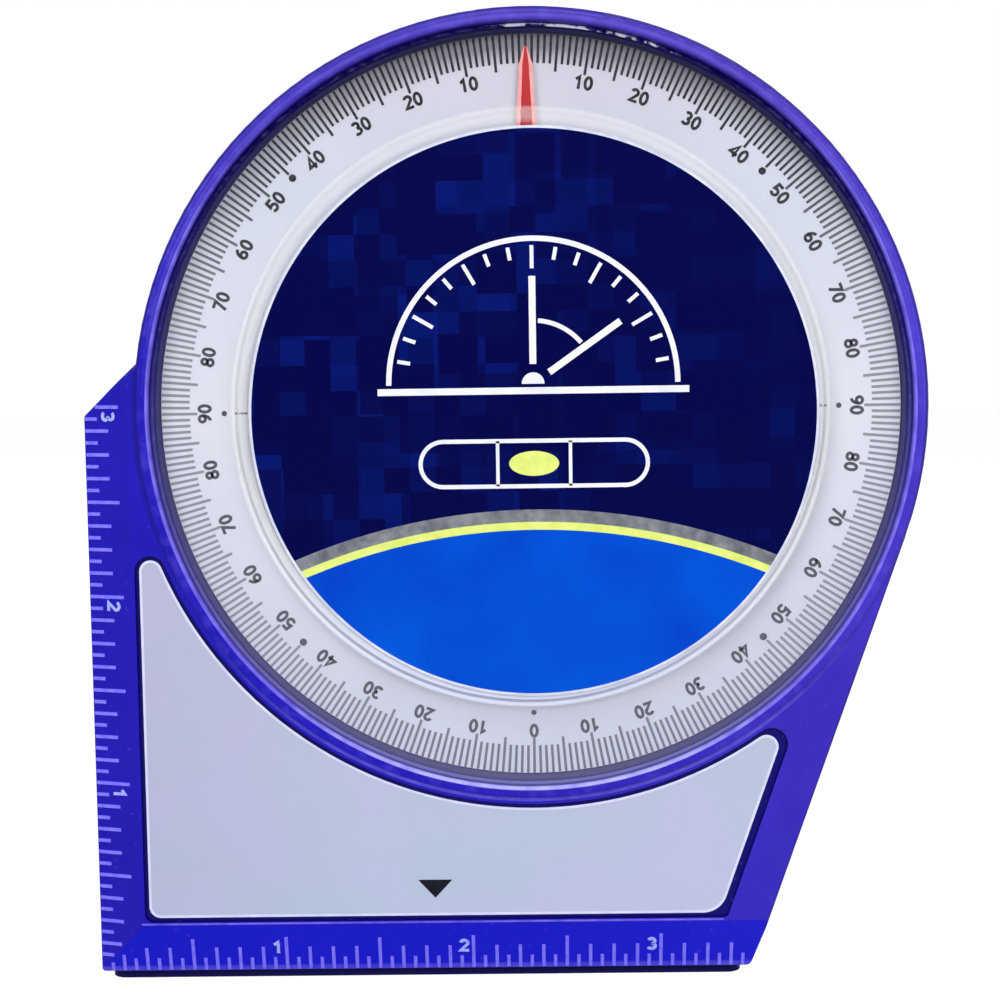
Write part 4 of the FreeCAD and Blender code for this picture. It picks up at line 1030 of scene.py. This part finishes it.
def shown_background(nodes, links):
    """1 for the rays that show the background as it is: the camera's, and those of glossy or clear things."""
    path = nodes.new("ShaderNodeLightPath")
    shown = path.outputs["Is Camera Ray"]
    for kind in ("Is Glossy Ray", "Is Transmission Ray"):
        either = nodes.new("ShaderNodeMath")
        either.operation = "MAXIMUM"
        links.new(shown, either.inputs[0])
        links.new(path.outputs[kind], either.inputs[1])
        shown = either.outputs[0]
    return shown


def show_instead(nodes, links, usual, shown, output):
    """Gives an output the usual shader, and another one where the background is shown as it is."""
    mixer = nodes.new("ShaderNodeMixShader")
    links.new(shown_background(nodes, links), mixer.inputs[0])
    links.new(usual.outputs[0], mixer.inputs[1])
    links.new(shown.outputs[0], mixer.inputs[2])
    links.new(mixer.outputs[0], output.inputs["Surface"])


def make_floor():
    """Pale paper, shown white with the object's shadow."""
    mesh = bmesh.new()
    bmesh.ops.create_grid(mesh, x_segments=8, y_segments=8, size=FLOOR_REACH,
                          matrix=Matrix.Translation((0, 0, -FLOOR_DROP)))
    data = bpy.data.meshes.new("floor")
    mesh.to_mesh(data)
    mesh.free()
    floor = bpy.data.objects.new("floor", data)
    bpy.context.scene.collection.objects.link(floor)
    material = bpy.data.materials.new("floor_paper")
    material.use_nodes = True
    nodes = material.node_tree.nodes
    links = material.node_tree.links
    nodes.remove(nodes["Principled BSDF"])
    paper = nodes.new("ShaderNodeBsdfDiffuse")
    paper.inputs["Color"].default_value = PAPER
    faint = nodes.new("ShaderNodeBsdfDiffuse")
    faint.inputs["Color"].default_value = PAPER_SHADE
    glow = nodes.new("ShaderNodeEmission")
    glow.inputs["Strength"].default_value = FLOOR_WHITE
    both = nodes.new("ShaderNodeAddShader")
    links.new(faint.outputs[0], both.inputs[0])
    links.new(glow.outputs[0], both.inputs[1])
    show_instead(nodes, links, paper, both, nodes["Material Output"])
    data.materials.append(material)


def make_world():
    """A dim room, brighter overhead and to the right; the camera, glossy and clear things see white."""
    world = bpy.data.worlds.new("studio")
    bpy.context.scene.world = world
    world.use_nodes = True
    nodes = world.node_tree.nodes
    links = world.node_tree.links
    direction = nodes.new("ShaderNodeTexCoord").outputs["Generated"]
    parts = nodes.new("ShaderNodeSeparateXYZ")
    links.new(direction, parts.inputs[0])
    slant = nodes.new("ShaderNodeMath")
    slant.operation = "MULTIPLY_ADD"
    slant.inputs[1].default_value = ROOM_SLANT
    links.new(parts.outputs["X"], slant.inputs[0])
    links.new(parts.outputs["Z"], slant.inputs[2])
    ramp = nodes.new("ShaderNodeValToRGB")
    stops = ramp.color_ramp.elements
    stops[0].position, stops[0].color = 0.0, ROOM_DIM
    stops[1].position, stops[1].color = ROOM_BRIGHT_FROM, WHITE
    links.new(slant.outputs[0], ramp.inputs["Fac"])
    room = nodes["Background"]
    links.new(ramp.outputs["Color"], room.inputs["Color"])
    room.inputs["Strength"].default_value = ROOM_STRENGTH
    white = nodes.new("ShaderNodeBackground")
    white.inputs["Color"].default_value = WHITE
    show_instead(nodes, links, room, white, nodes["World Output"])


def add_lamp(name, place, size, power):
    """A rectangular lamp aimed at the part, which clear things don't show."""
    lamp = bpy.data.lights.new(name, "AREA")
    lamp.shape = "RECTANGLE"
    lamp.size, lamp.size_y = size
    lamp.energy = power
    holder = bpy.data.objects.new(name, lamp)
    bpy.context.scene.collection.objects.link(holder)
    holder.visible_transmission = False
    holder.location = place
    holder.rotation_euler = (Vector(LAMP_AIM) - Vector(place)).to_track_quat("-Z", "Y").to_euler()


def make_camera():
    """Camera at the photograph's viewing angle: a heading from straight ahead, a downward tilt and a roll."""
    camera = bpy.data.cameras.new("camera")
    camera.lens = CAMERA_LENS
    camera.sensor_width = 36.0
    camera.clip_start = 0.01
    holder = bpy.data.objects.new("camera", camera)
    bpy.context.scene.collection.objects.link(holder)
    turned = Matrix.Translation(CAMERA_PLACE)
    for angle, axis in ((CAMERA_HEADING, "Z"), (90 - CAMERA_TILT, "X"), (CAMERA_ROLL, "Z")):
        turned = turned @ Matrix.Rotation(math.radians(angle), 4, axis)
    holder.matrix_world = turned
    bpy.context.scene.camera = holder


make_dial_numerals()
make_dial_points()
make_pointer_edge()
make_label_field()
make_label_sign()
make_label_vial()
make_panel_edge()
make_panel_mark()
make_rule_numerals()
make_floor()
make_world()
for lamp in LAMPS:
    add_lamp(*lamp)
make_camera()
bpy.context.scene.view_settings.view_transform = "Standard"
